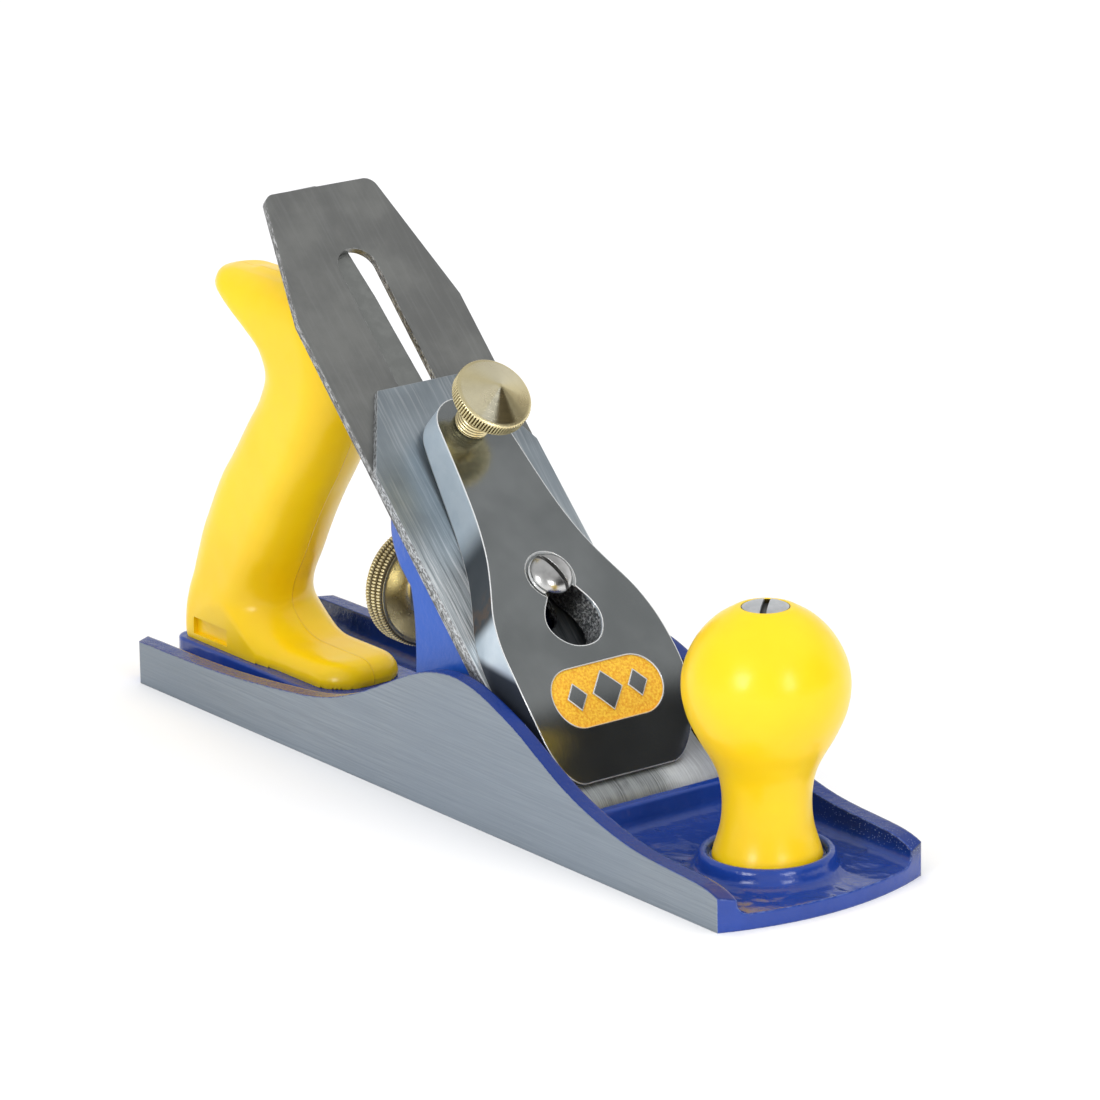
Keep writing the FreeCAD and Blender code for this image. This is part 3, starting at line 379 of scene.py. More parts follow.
class Shader:
    """Material with one Principled surface; x, y, z are object coordinates in mm."""

    SOCKETS = {
        "color": "Base Color", "metal": "Metallic", "rough": "Roughness", "normal": "Normal",
        "coat": "Coat Weight", "coat_rough": "Coat Roughness", "coat_normal": "Coat Normal",
        "spec": "Specular IOR Level", "sss": "Subsurface Weight",
        "sss_scale": "Subsurface Scale", "sss_radius": "Subsurface Radius",
        "aniso": "Anisotropic", "tangent": "Tangent", "ior": "IOR",
    }

    def __init__(self, name):
        self.material = bpy.data.materials.new(name)
        self.material.use_nodes = True
        self.tree = self.material.node_tree
        self.tree.nodes.clear()
        output = self.tree.nodes.new("ShaderNodeOutputMaterial")
        self.principled = self.tree.nodes.new("ShaderNodeBsdfPrincipled")
        self.tree.links.new(self.principled.outputs[0], output.inputs[0])
        coords = add_node("TexCoord", {}, "Object", self.tree)
        self.mm = vector_math("SCALE", coords, scale=1000.0)
        self.x, self.y, self.z = split(self.mm)
        self.geometry = add_node("NewGeometry", {}, tree=self.tree).socket.node.outputs

    def noise(self, at=None, scale=1.0, detail=3.0, rough=0.55, distortion=0.0):
        inputs = {"Vector": at or self.mm, "Scale": scale, "Detail": detail,
                  "Roughness": rough, "Distortion": distortion}
        return add_node("TexNoise", inputs, "Fac")

    def rounded(self, radius, samples):
        """Normal with edges rounded over a radius in mm."""
        return add_node("Bevel", {"Radius": radius * MM}, tree=self.tree, samples=samples)

    def edge_mask(self, rounded, zero_at, one_at):
        """Mask of edges: how far the rounded normal leans from the plain one."""
        return (1 - dot(rounded, Signal(self.geometry["Normal"]))).step(zero_at, one_at)

    def object_normal(self):
        return transform(Signal(self.geometry["True Normal"]), "NORMAL", "WORLD", "OBJECT")

    def bed_coords(self):
        """Distance up the bed, across it, and out from it."""
        up_bed = (self.z - (self.x - EDGE_X)) * COS45
        height = (self.z + (self.x - EDGE_X)) * COS45 + IRON_THICKNESS
        return up_bed, self.y, height

    def finish(self, **values):
        for key, value in values.items():
            plug(value, self.principled.inputs[self.SOCKETS[key]])
        return self.material


# ------------------------------------------------------------------ materials
# Masks multiply together, and each tint lays one colour over those before it.
def enamel_coat(mat):
    """Glossy blue paint over cast iron."""
    x, y, z = mat.x, mat.y, mat.z
    normal_y, normal_z = split(mat.object_normal())[1:]
    rounded = mat.rounded(radius=0.9, samples=8)
    edge = mat.edge_mask(rounded, 0.015, 0.22)
    chips = mat.noise(scale=0.55, detail=6, rough=0.7)
    blotch = mat.noise(scale=0.09)
    paint = mix(blotch, srgb(22, 54, 134), srgb(32, 70, 162))
    # floor of the body towards the toe, where the paint lies thick
    pool = x.step(62, 66) * z.step(5.4, 4.6) * normal_z.step(0.6, 0.95)
    paint = paint.tint(pool * 0.35, 18, 42, 118)
    # painted shade low on the +Y cheek, with pale flecks towards the toe
    far_cheek_shade = y.step(24.5, 27.5) * normal_z.step(0.95, 0.4)
    paint = paint.tint(far_cheek_shade * (z.step(3.0, 9.0) * 0.75), 10, 16, 44)
    cells = add_node("TexVoronoi", {"Vector": mat.mm, "Scale": 1.5}, "Distance", feature="F1")
    flecks = cells.step(0.26, 0.14) * x.step(84, 104) * (y.step(25.0, 27.0) * z.step(5.0, 7.5))
    paint = paint.tint(flecks * 0.55, 150, 168, 208)
    # relief: cast grain, strongest on the upper rims, orange peel, and waves in the pool
    grain = mat.noise(scale=0.85, detail=5, rough=0.62)
    peel = mat.noise(scale=0.28, detail=2)
    wave = mat.noise(vector_math("MULTIPLY", mat.mm, (0.8, 1.1, 1.0)), scale=0.10, detail=1.2,
                     rough=0.4, distortion=0.8)
    rims = z.step(7.5, 12) * abs(y).step(25.5, 27.5)
    height = grain * mix_value(rims, 0.10, 0.34) + peel * 0.30
    height = height + wave * pool * 2.4
    relief = bump(height, 0.62, rounded)
    # brown stain on the floor by the -Y corner of the toe
    stain_noise = mat.noise(scale=0.33, detail=5, rough=0.7)
    stain = stain_noise.step(0.55, 0.66) * (
        x.step(106, 114) * x.step(127.5, 125.5) * (y.step(-14, -20) * z.step(5.6, 5.0)))
    stain = stain * (abs(y).step(27.4, 26.6) * normal_z.step(0.5, 0.9))
    paint = paint.tint(stain * 0.35, 84, 66, 62)
    # painted highlight: a broken pale line along edges in the toe half
    edge_highlight = edge * chips.step(0.42, 0.58) * x.step(60.0, 80.0)
    paint = paint.tint(edge_highlight * 0.5, 126, 152, 214)
    # darker upward faces of the rims
    rim_top = abs(y).step(26.8, 27.6) * normal_z.step(0.2, 0.5)
    paint = paint.tint(rim_top * 0.55, 10, 30, 92)
    return SimpleNamespace(paint=paint, relief=relief, rounded=rounded, edge=edge, chips=chips,
                           pool=pool, rim_top=rim_top, normal_y=normal_y, normal_z=normal_z)


def body_material():
    """Blue enamel, with the outer cheeks and the sole ground bare."""
    mat = Shader("blue_enamel_and_ground_iron")
    x, y, z = mat.x, mat.y, mat.z
    coat = enamel_coat(mat)
    cheek = abs(coat.normal_y).step(0.9, 0.97) * abs(y).step(30.95, 31.15)
    sole = coat.normal_z.step(-0.9, -0.97) * z.step(0.2, 0.05)
    bare = maximum(cheek, sole)
    # paint creeps over the arris in places
    creep = cheek * coat.edge * coat.chips.step(0.40, 0.52)
    bare = bare * (1 - creep * z.step(6.0, 9.0))
    # and wears to a tan primer along the rims in the handle half
    rim = coat.normal_z.step(0.3, 0.6) * (1 - cheek) * (
        abs(y).step(30.55, 30.8) * z.step(6.0, 8.0))
    fine = mat.noise(scale=2.6, detail=4, rough=0.6)
    primer = rim * fine.step(0.40, 0.56) * x.step(-15, -50)
    paint = coat.paint.tint(primer * 0.34, 150, 132, 134)
    # lengthwise grinding, coarse and fine
    lengthwise = combine(x * 0.035, y * 0.6, z * 2.4 + x * 0.012)
    coarse = mat.noise(lengthwise, detail=5, rough=0.7)
    fine_marks = mat.noise(vector_math("MULTIPLY", lengthwise, (2.2, 4.0, 4.4)), rough=0.6)
    cloud = mat.noise(scale=0.018, detail=2)
    tone = coarse * 0.55 + fine_marks * 0.45
    steel = mix(tone.step(0.30, 0.70), srgb(130, 139, 148), srgb(156, 165, 174))
    steel = steel.tint(cloud.step(0.4, 0.65) * 0.35, 138, 149, 161)
    # painted shade: the ground steel darker towards the heel
    steel = steel.tint(x.step(-35, -105) * 0.35, 118, 126, 134)
    nicks = mat.noise(combine(x * 0.25, y, z * 1.1), scale=0.9, detail=6, rough=0.75)
    steel = steel.tint(nicks.step(0.66, 0.72) * 0.5, 92, 96, 104)
    steel_relief = bump(coarse * 0.7 + fine_marks * 0.6, 0.05, coat.rounded)
    return mat.finish(
        color=mix(bare, paint, steel),
        metal=bare * 0.9,
        rough=mix_value(bare, 0.2, fine_marks.remap(0.2, 0.8, 0.34, 0.52)),
        normal=mix(bare, coat.relief, steel_relief, "VECTOR"),
        coat=(1 - bare) * mix_value(coat.pool, 0.5, 0.9) * (1 - coat.rim_top * 0.6),
        coat_rough=0.06, coat_normal=coat.relief, spec=mix_value(bare, 0.3, 0.5))


def frog_material():
    """Blue enamel, with painted shade nearly black in the middle of the bed."""
    mat = Shader("blue_enamel")
    coat = enamel_coat(mat)
    _, y, height = mat.bed_coords()
    # painted shade: the middle of the bed under the iron nearly black, dull and uncoated
    bed_middle_shade = abs(y).step(16.0, 13.0) * height.step(-9.0, -7.0)
    paint = coat.paint.tint(bed_middle_shade * 0.95, 8, 9, 14)
    chipped = coat.edge * coat.chips.step(0.62, 0.7)
    paint = paint.tint(chipped * 0.6, 20, 24, 60)
    return mat.finish(
        color=paint.tint((1 - bed_middle_shade) * 0.5, 40, 104, 206), rough=0.3, normal=coat.relief,
        coat=(1 - bed_middle_shade) * 0.25, coat_rough=0.15, coat_normal=coat.relief,
        spec=mix_value(bed_middle_shade, 0.25, 0.03))


def iron_material():
    """Hardened iron: dark satin with faint rolling marks and bright ground arrises."""
    mat = Shader("iron_steel_dark")
    up_bed, y, height = mat.bed_coords()
    rounded = mat.rounded(radius=0.3, samples=6)
    edge = mat.edge_mask(rounded, 0.02, 0.3)
    rolling = mat.noise(combine(up_bed * 0.05, y * 1.2, height * 1.2), detail=5, rough=0.65)
    mottle = mat.noise(scale=0.06, detail=4, rough=0.6)
    specks = mat.noise(scale=2.2, detail=4, rough=0.7)
    colour = mix(mottle.step(0.35, 0.7), srgb(126, 127, 125), srgb(142, 143, 140))
    colour = colour.tint(rolling.step(0.45, 0.7) * 0.25, 156, 158, 156)
    colour = colour.tint(specks.step(0.66, 0.75) * 0.4, 108, 108, 106)
    nicks = edge * mat.noise(scale=0.5, detail=5, rough=0.75).step(0.44, 0.6)
    # long side faces: worn bright in places, grimy in others
    side = abs(split(mat.object_normal())[1]).step(0.6, 0.85)
    wear_noise = mat.noise(combine(up_bed * 0.35, y, height * 2.0), scale=0.8, detail=5,
                           rough=0.7)
    side_wear = side * wear_noise.step(0.42, 0.6)
    grime_noise = mat.noise(combine(up_bed * 0.8, y, height * 1.6), scale=1.1, detail=5,
                            rough=0.75)
    grime = side * grime_noise.step(0.50, 0.58)
    colour = colour.tint(grime * 0.85, 40, 38, 38)
    bright = maximum(nicks * 0.9, side_wear * 0.8) * (1 - grime)
    honed = up_bed.step(2.2, 1.2)
    colour = colour.tint(maximum(bright, honed), 214, 216, 216)
    colour = colour.tint(side * (1 - maximum(bright, grime)), 104, 104, 103)
    return mat.finish(
        color=colour,
        metal=0.82 * (1 - side * 0.5),
        rough=mix_value(bright, mottle.remap(0.3, 0.7, 0.36, 0.46), 0.28),
        normal=bump(rolling * 0.5 + specks * 0.35, 0.06, rounded))


def cap_iron_material():
    """Cap iron: blue-grey, ground lengthwise, coarser towards the hump at its low end."""
    mat = Shader("cap_iron_steel")
    up_bed, y, height = mat.bed_coords()
    rounded = mat.rounded(radius=0.35, samples=6)
    edge = mat.edge_mask(rounded, 0.02, 0.3)
    low = up_bed.step(96, 70)
    hump = up_bed.step(25, 21)
    side = abs(split(mat.object_normal())[1]).step(0.6, 0.85)
    # grinding marks of several widths, all running up the bed
    warp = mat.noise(scale=0.05, detail=2) * 1.6
    marks = mat.noise(combine(up_bed * 0.022, y * 1.15 + warp, height * 0.4), detail=6,
                      rough=0.72)
    hump_marks = mat.noise(combine(up_bed * 0.03, y * 4.2, height * 0.05), detail=4,
                           rough=0.65)
    fine_marks = mat.noise(combine(up_bed * 0.012, y * 3.3 + up_bed * 0.02, height * 0.3),
                           detail=4, rough=0.7)
    bright_lines = marks.step(0.50, 0.60) * mix_value(low, 0.18, 0.95)
    dark_lines = marks.step(0.47, 0.38) * mix_value(low, 0.10, 0.95)
    colour = mix(mat.noise(scale=0.05).step(0.35, 0.7),
                 srgb(146, 155, 161), srgb(164, 174, 181))
    colour = colour.tint(low * 0.7, 216, 223, 226)
    colour = colour.tint(fine_marks.step(0.52, 0.40) * low * 0.7, 120, 129, 134)
    colour = colour.tint(bright_lines, 252, 254, 255)
    colour = colour.tint(dark_lines * 0.85, 84, 91, 97)
    # hump: streaked, cloudy, with painted shade across the middle and a painted highlight towards
    # +Y
    streaks = mat.noise(combine(up_bed * 0.02, y * 2.6, height * 0.03), detail=4, rough=0.65)
    on_hump = mix(streaks.step(0.36, 0.66), srgb(126, 130, 131), srgb(204, 209, 210))
    on_hump = on_hump.tint(mat.noise(scale=0.12).step(0.42, 0.6) * 0.5, 222, 228, 229)
    on_hump = on_hump.tint(y.step(12.0, 3.0) * y.step(-21.0, -12.0) * 0.45, 74, 80, 84)
    on_hump = on_hump.tint(y.step(6.0, 14.0) * 0.6, 240, 244, 246)
    colour = mix(hump, colour, on_hump)
    colour = colour.tint(edge * 0.8, 226, 230, 232)
    # painted shade: a dark patch in the middle, where it shows through the lever cap's hole
    hole_shade = abs(y).step(13.5, 11.5) * (up_bed.step(40, 44) * up_bed.step(78, 74)) * (1 - hump)
    colour = colour.tint(hole_shade * 0.85, 66, 70, 74)
    # long side faces, dark along the bottom
    mottle = mat.noise(combine(up_bed * 0.7, y, height * 1.4), scale=1.2, detail=5, rough=0.75)
    on_side = mix(mottle.step(0.46, 0.56), srgb(88, 88, 88), srgb(196, 200, 202))
    on_side = on_side.tint(height.step(0.55, 0.3), 30, 28, 28)
    colour = mix(side * 0.9, colour, on_side)
    relief = marks * mix_value(low, 0.3, 1.0) + hump_marks * mix_value(hump, 0.25, 0.9)
    return mat.finish(
        color=colour,
        metal=mix_value(maximum(low * (1 - hole_shade), hump), 0.88, 0.55) * (1 - side * 0.5),
        rough=mix_value(bright_lines, 0.36, 0.27),
        normal=bump(relief, 0.09, rounded))


def lever_cap_material():
    """Lever cap: dark satin nickel face, a painted highlight along its edges, painted shade on
    the side walls, yellow enamel in the sunk panel.
    """
    mat = Shader("lever_cap_nickel")
    up_bed, y, height = mat.bed_coords()
    rounded = mat.rounded(radius=0.6, samples=8)
    edge = mat.edge_mask(rounded, 0.006, 0.07)
    facing_out = dot(mat.object_normal(), (COS45, 0.0, COS45))
    face = facing_out.step(0.35, 0.6)
    cloud = mat.noise(scale=0.045)
    specks = mat.noise(scale=1.6, detail=5, rough=0.7)
    on_face = mix(cloud.step(0.35, 0.7), srgb(136, 140, 140), srgb(152, 156, 156))
    # side walls: pale, with a band of painted shade, a brown stain in it, and painted shade over
    # the low end
    on_side = mix(mat.noise(scale=0.22, detail=4).step(0.35, 0.65),
                  srgb(196, 210, 220), srgb(226, 235, 241))
    along_side = mix(up_bed.step(118, 84), srgb(206, 220, 230), srgb(190, 204, 214))
    on_side = mix(0.75, on_side, along_side)
    shade_band = up_bed.step(88, 78) * up_bed.step(57, 61)
    on_side = on_side.tint(shade_band * 0.95, 34, 39, 44)
    stain = up_bed.step(69, 65) * up_bed.step(59, 62) * (
        0.5 * mat.noise(scale=0.35).step(0.4, 0.6))
    on_side = on_side.tint(stain, 96, 74, 52)
    low_end_shade = (up_bed - (12.5 - height) * 1.15).step(47, 43)
    on_side = on_side.tint(low_end_shade * 0.94, 14, 19, 34)
    colour = mix(face, on_side, on_face)
    colour = colour.tint(specks.step(0.68, 0.76) * 0.35, 112, 114, 114)
    # brassy wear by the -Y corner of the low end
    brassy = face * mat.noise(scale=0.14, detail=4).step(0.5, 0.66) * (
        up_bed.step(21, 16) * y.step(-9, -13))
    colour = colour.tint(brassy * 0.55, 150, 126, 84)
    # painted highlight: near-white along the edges, also made less metallic further down so it
    # shows white
    colour = colour.tint(edge * 0.95, 250, 252, 252)
    # inner wall of the key-shaped hole is left as cast, with painted shade, and a painted lit
    # patch towards +Y where its speckles glint
    hole_radius = length(combine(up_bed - 55.0, y, 0.0))
    wall = (1 - face) * abs(y).step(11.0, 9.6) * (
        hole_radius.step(16.5, 15.0) * height.step(14.9, 14.2))
    cast = mat.noise(scale=1.5, detail=5, rough=0.7).step(0.46, 0.6)
    lit = y.step(4.0, 8.5) * up_bed.step(62.0, 56.0)
    on_wall = mix(lit, srgb(30, 31, 33), srgb(70, 72, 74))
    on_wall = on_wall.tint(cast * mix_value(lit, 0.12, 1.0), 228, 230, 232)
    colour = mix(wall * 0.95, colour, on_wall)
    # sunk panel: a slot with round ends, found by its depth below the curved face
    from_panel = up_bed - 34.0
    face_height = 14.42 + from_panel * 0.152 + from_panel * from_panel * -0.0095
    depth = face_height - height
    past_straight = maximum(abs(y) - 9.0, 0.0)
    panel_radius = length(combine(from_panel, past_straight, 0.0))
    panel = panel_radius.step(7.9, 7.5) * (depth.step(0.16, 0.28) * depth.step(1.2, 0.9))
    grain = mat.noise(scale=1.5, detail=5, rough=0.7)
    yellow = mix(grain.step(0.38, 0.62), srgb(232, 158, 18), srgb(252, 206, 56))
    colour = mix(panel, colour, yellow)
    relief = bump(specks * 0.10 + grain * panel * 1.6, 0.12, rounded)
    relief = bump(cast * wall, 0.35, relief)
    metal = mix_value(face, mix_value(maximum(low_end_shade, shade_band), 0.55, 0.25), 0.97)
    metal = metal * (1 - edge * facing_out.step(0.05, 0.3) * 0.75)
    metal = metal * (1 - maximum(panel, wall * 0.8))
    rough = mix_value(face, 0.3, cloud.remap(0.3, 0.7, 0.12, 0.17))
    rough = mix_value(edge, rough, 0.12)
    rough = mix_value(panel, rough, 0.5)
    shade = (1 - face) * maximum(low_end_shade, shade_band)
    return mat.finish(color=colour, metal=metal, rough=rough, normal=relief,
                      spec=mix_value(shade, 0.5, 0.12))


# Painted highlights and dark painted reflections in sectors of the thumbscrew cone: direction (up
# the bed, +Y), cosine where the tint starts and where it is full, strength, sRGB colour
CONE_SECTORS = [
    ((-0.3, -0.9), 0.30, 0.99, 0.35, (255, 252, 232)),
    ((0.877, 0.481), 0.2, 1.0, 0.45, (255, 250, 226)),
    ((-0.782, -0.623), 0.95, 0.995, 0.9, (255, 249, 222)),
    ((-0.985, -0.17), 0.90, 0.985, 0.85, (104, 88, 52)),
    ((-0.75, 0.66), 0.86, 0.99, 0.35, (150, 130, 84)),
]
# The same painted highlights and reflections on the wheel's dished face: direction in the object,
# then as above
DISH_SECTORS = [
    ((0.0, -0.82, 0.57), 0.80, 0.985, 0.9, (255, 246, 206)),
    ((0.0, -0.3, 0.954), 0.85, 0.98, 0.7, (96, 84, 44)),
]


def brass_material(name, centre, axis, grooves, tone=1.0, metal=1.0, cone_from=None,
                   dished=False):
    """Turned brass with concentric tool marks about its own axis.

    Each groove is darkened with painted shade over a band: outer radius, radius of full tint,
    inner radius, start and end along the axis, strength.
    """
    mat = Shader(name)
    axis = unit(axis).tolist()
    offset = vector_math("SUBTRACT", mat.mm, centre.tolist())
    along = dot(offset, axis)
    outward = vector_math("SUBTRACT", offset, vector_math("SCALE", axis, scale=along))
    radius = length(outward)
    tangent = vector_math("NORMALIZE", vector_math("CROSS_PRODUCT", axis, outward))
    rings = mat.noise(combine(radius * 3.2, along * 3.2, 0.0), detail=5, rough=0.7)
    tarnish = mat.noise(scale=0.12, detail=4, rough=0.6)
    spots = mat.noise(scale=0.9, detail=5, rough=0.7).step(0.64, 0.74)
    colour = mix(tarnish.step(0.35, 0.7), srgb(240 * tone, 226 * tone, 178 * tone),
                 srgb(224 * tone, 208 * tone, 160 * tone))
    colour = colour.tint(spots * 0.12, 170, 146, 98)

    def tint_sectors(colour, area, sectors):
        direction = vector_math("NORMALIZE", outward)
        for towards, start, full, strength, rgb in sectors:
            sector = dot(direction, towards).step(start, full)
            colour = colour.tint(area * sector * strength, *rgb)
        return colour

    # painted highlights and dark reflections, sector by sector
    if cone_from is not None:
        cone = along.step(cone_from, cone_from + 0.2) * radius.step(0.15, 1.2)
        sectors = [(unit(BED_UP * up + Y_AXIS * across).tolist(), *rest)
                   for (up, across), *rest in CONE_SECTORS]
        colour = tint_sectors(colour, cone, sectors)
    if dished:
        dish = radius.step(13.4, 12.8) * radius.step(6.6, 7.6)
        colour = colour.tint(dish * 0.35, 128, 120, 84)
        colour = tint_sectors(colour, dish, DISH_SECTORS)
    for outer, full, inner, start, end, strength in grooves:
        groove = radius.step(outer, full) * radius.step(inner, inner + 0.2) * (
            along.step(start, start + 0.12) * along.step(end, end - 0.12))
        colour = colour.tint(groove * strength, 74, 56, 26)
    return mat.finish(
        color=colour, metal=metal, rough=tarnish.remap(0.3, 0.7, 0.22, 0.3),
        normal=bump(rings, 0.05, mat.rounded(radius=0.15, samples=4)),
        aniso=0.85, tangent=transform(tangent, "VECTOR", "OBJECT", "WORLD"))


def steel_material(name, dark, light, rough=0.3, bright=False, recess=None):
    """Plain metal between two sRGB tones; recess(mat) masks a part painted dark and dull as
    shade.
    """
    mat = Shader(name)
    rounded = mat.rounded(radius=0.25, samples=4)
    edge = mat.edge_mask(rounded, 0.02, 0.3)
    mottle = mat.noise(scale=0.25, detail=4)
    grain = mat.noise(scale=2.4, detail=5, rough=0.7)
    half_dark = tuple(c * 0.5 for c in srgb(*dark)[:3]) + (1.0,)
    colour = mix(mottle.step(0.35, 0.68), srgb(*dark), srgb(*light))
    colour = mix(grain.step(0.62, 0.74) * 0.3, colour, half_dark)
    colour = colour.tint(edge * 0.5, 232, 234, 236)
    metal = 1.0 if bright else 0.92
    if recess:
        recess_shade = recess(mat)
        colour = colour.tint(recess_shade * 0.95, 22, 22, 20)
        metal = metal * (1 - recess_shade)
    return mat.finish(
        color=colour, metal=metal,
        rough=mottle.remap(0.3, 0.7, rough * 0.85, rough * 1.2),
        normal=bump(grain, 0.02 if bright else 0.06, rounded))


def screw_slot(mat):
    """Slot across the lever cap screw, painted dark as shade."""
    up_bed, y, _ = mat.bed_coords()
    across = ((up_bed - CAP_SCREW_UP_BED) * math.sin(CAP_SCREW_SLOT_ANGLE)
              + y * math.cos(CAP_SCREW_SLOT_ANGLE))
    return abs(across).step(0.66, 0.58)


def nut_recess(mat):
    """Everything below the top face of the knob nut, painted dark as shade in the knob's
    counterbore.
    """
    return mat.z.step(69.28, 69.0)


def yellow_material():
    """Glossy moulded yellow plastic with slight sink marks and a fine parting line."""
    mat = Shader("yellow_moulded_plastic")
    x, y, z = mat.x, mat.y, mat.z
    blotch = mat.noise(scale=0.04)
    sink = mat.noise(scale=0.055, detail=2)
    fine = mat.noise(scale=1.3)
    colour = mix(blotch.step(0.3, 0.7), srgb(248, 204, 10), srgb(251, 210, 17))
    parting = abs(y).step(0.34, 0.06) * x.step(-20.0, -30.0)
    dirt = mat.noise(scale=0.7, detail=6, rough=0.75).step(0.70, 0.76)
    colour = colour.tint(dirt * 0.22, 176, 130, 20)
    colour = colour.tint(parting * 0.18, 214, 160, 10)
    # painted shade along the top and front of the sunk rectangle's floor, on the handle's -Y side
    pocket = y.step(-12.95, -12.75) * y.step(-12.35, -12.5) * (
        x.step(-121.6, -120.8) * z.step(15.3, 14.9))
    pocket = pocket * x.step(-104.6, -105.2)
    lip = maximum(z.step(14.0, 14.7), x.step(-106.6, -105.7))
    colour = colour.tint(pocket * lip * 0.75, 198, 150, 6)
    # painted shade: the wall of the knob's counterbore dark
    knob_radius = length(combine(x - KNOB_X, y, 0.0))
    bore = knob_radius.step(5.92, 5.84) * z.step(50.0, 55.0)
    colour = colour.tint(bore * 0.97, 30, 24, 10)
    relief = bump(sink * 1.3 + fine * 0.02, 0.5)
    relief = bump(parting, 0.10, relief)
    return mat.finish(
        color=colour, rough=0.3, normal=relief, coat=0.16, coat_rough=0.16, coat_normal=relief,
        spec=0.34, sss=0.12, sss_scale=0.003, sss_radius=(1.0, 0.6, 0.1), ior=1.5)


def give(obj, material):
    if len(obj.material_slots) == 0:
        obj.data.materials.append(material)
    for slot in obj.material_slots:
        slot.material = material


BODY_ENAMEL = body_material()
FROG_ENAMEL = frog_material()
IRON = iron_material()
CAP_IRON = cap_iron_material()
LEVER_CAP = lever_cap_material()
ZINC = steel_material("zinc_plate", dark=(168, 170, 172), light=(196, 198, 200), rough=0.34)
# the slotted version below is used on the screw, this one on the handle nut
NICKEL = steel_material("bright_nickel", dark=(186, 186, 184), light=(210, 210, 208),
                        rough=0.2, bright=True)
YOKE = steel_material("cast_yoke_iron", dark=(84, 86, 90), light=(110, 112, 116), rough=0.5)
SLOTTED_NICKEL = steel_material("bright_nickel_slotted", dark=(190, 190, 188),
                                light=(216, 216, 214), rough=0.22, bright=True,
                                recess=screw_slot)
YELLOW = yellow_material()
LATERAL = steel_material("lateral_lever_steel", dark=(146, 148, 145), light=(158, 160, 157),
                         rough=0.4)
NUT = steel_material("knob_nut_steel", dark=(214, 217, 219), light=(232, 234, 236),
                     rough=0.36, recess=nut_recess)

PARTS_BY_MATERIAL = (
    (BODY_ENAMEL, "plane_body"),
    (FROG_ENAMEL, "frog"),
    (ZINC, "frog_screws frog_screw_washers frog_adjust_screw frog_adjust_plate"
           " frog_plate_screw depth_stud yoke_pin lateral_roller_rivet lateral_roller"
           " lateral_pivot cap_iron_screw knob_stud handle_rod depth_wheel"
           " lever_cap_thumbscrew"),
    (YOKE, "yoke_lever"),
    (LATERAL, "lateral_lever"),
    (IRON, "cutting_iron"),
    (CAP_IRON, "cap_iron"),
    (LEVER_CAP, "lever_cap"),
    (SLOTTED_NICKEL, "lever_cap_screw"),
    (NUT, "knob_nut"),
    (NICKEL, "handle_nut"),
    (YELLOW, "front_knob rear_handle"),
)
MATERIAL_OF = {part: material for material, parts in PARTS_BY_MATERIAL
               for part in parts.split()}
for part_name, part in NODES.items():
    if part_name in MATERIAL_OF:
        give(part, MATERIAL_OF[part_name])


def install(piece, material, rides, replaces):
    """Put a detailed piece in the place of its CAD part."""
    give(piece, material)
    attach(piece, rides)
    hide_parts(replaces)


# ------------------------------------------------------------------ front knob
# Outer curve: radius, z
KNOB_CURVE = [
    (13.4, 7.4), (12.9, 9.4), (12.2, 11.6), (11.3, 15.0), (10.85, 19.0), (10.95, 23.4),
    (11.8, 28.1), (13.6, 32.2), (16.6, 37.4), (19.2, 43.2), (20.3, 49.4), (19.5, 55.4),
    (16.6, 61.4), (12.4, 66.0), (7.6, 69.0),
]
KNOB_FOOT = [(3.0, 6.5), (12.9, 6.5), (13.3, 6.75)]
KNOB_MOUTH = [(6.7, 69.32), (6.1, 69.42), (5.85, 69.25), (5.8, 68.6), (5.8, 60.0), (3.0, 60.0)]

knob = lathe("front_knob_turned", KNOB_FOOT + catmull_rom(KNOB_CURVE, steps=7) + KNOB_MOUTH,
             (KNOB_X, 0, 0), (0, 0, 1), segments=160)
install(knob, YELLOW, "plane", "front_knob")

# ------------------------------------------------------------------ rear handle
# Grip sections: z, rear x, front x (from the drawing datum), half width, rear corner radius
GRIP = [
    (8.55, -129.3, -95.5, 14.0, 5.5), (11.5, -129.5, -95.5, 13.9, 5.5),
    (14.6, -129.7, -95.4, 13.7, 5.8), (17.5, -129.8, -96.0, 13.5, 6.3),
    (21.5, -129.8, -96.9, 13.2, 7.8), (27.0, -129.3, -95.2, 12.9, 10.4),
    (36.0, -127.1, -90.0, 12.6, 11.8), (46.0, -122.3, -84.3, 12.4, 12.0),
    (55.0, -117.1, -78.4, 12.3, 12.0), (63.0, -110.8, -72.6, 12.3, 12.0),
    (72.0, -104.3, -67.0, 12.2, 12.0), (80.0, -98.3, -62.7, 12.2, 12.0),
    (87.0, -95.6, -60.3, 12.2, 12.0), (93.0, -98.0, -59.8, 12.2, 11.9),
    (98.5, -105.8, -61.2, 12.0, 11.5), (103.0, -113.8, -64.4, 11.4, 10.6),
    (107.0, -119.1, -69.0, 10.0, 9.6), (109.4, -118.9, -73.6, 7.8, 7.5),
    (110.9, -114.4, -79.5, 4.8, 4.5), (111.5, -106.0, -88.0, 1.2, 1.1),
]
GRIP_BOTTOM, GRIP_TOP = GRIP[0][0], GRIP[-1][0]
CORNER_MARGIN = 0.05            # corner radii stay this much under the half width
FOOT_REAR, FOOT_FRONT = -112.0, -59.4
FOOT_TOP = 14.7
FOOT_HALF_WIDTH = 12.5
FOOT_REAR_RADIUS, FOOT_FRONT_RADIUS = 1.0, 10.0
FOOT_TOP_RADIUS = 5.0
FOOT_CROWN = 0.35               # drop of the foot's top from its middle to its sides
GRIP_FOOT_BLEND = 14.0
HANDLE_SEAT = 8.56              # z of the flat underside
CELL = 0.8                      # sampling grid
ROD_BOTTOM = np.array([-110.5 + DATUM_X, 0, 3.0])
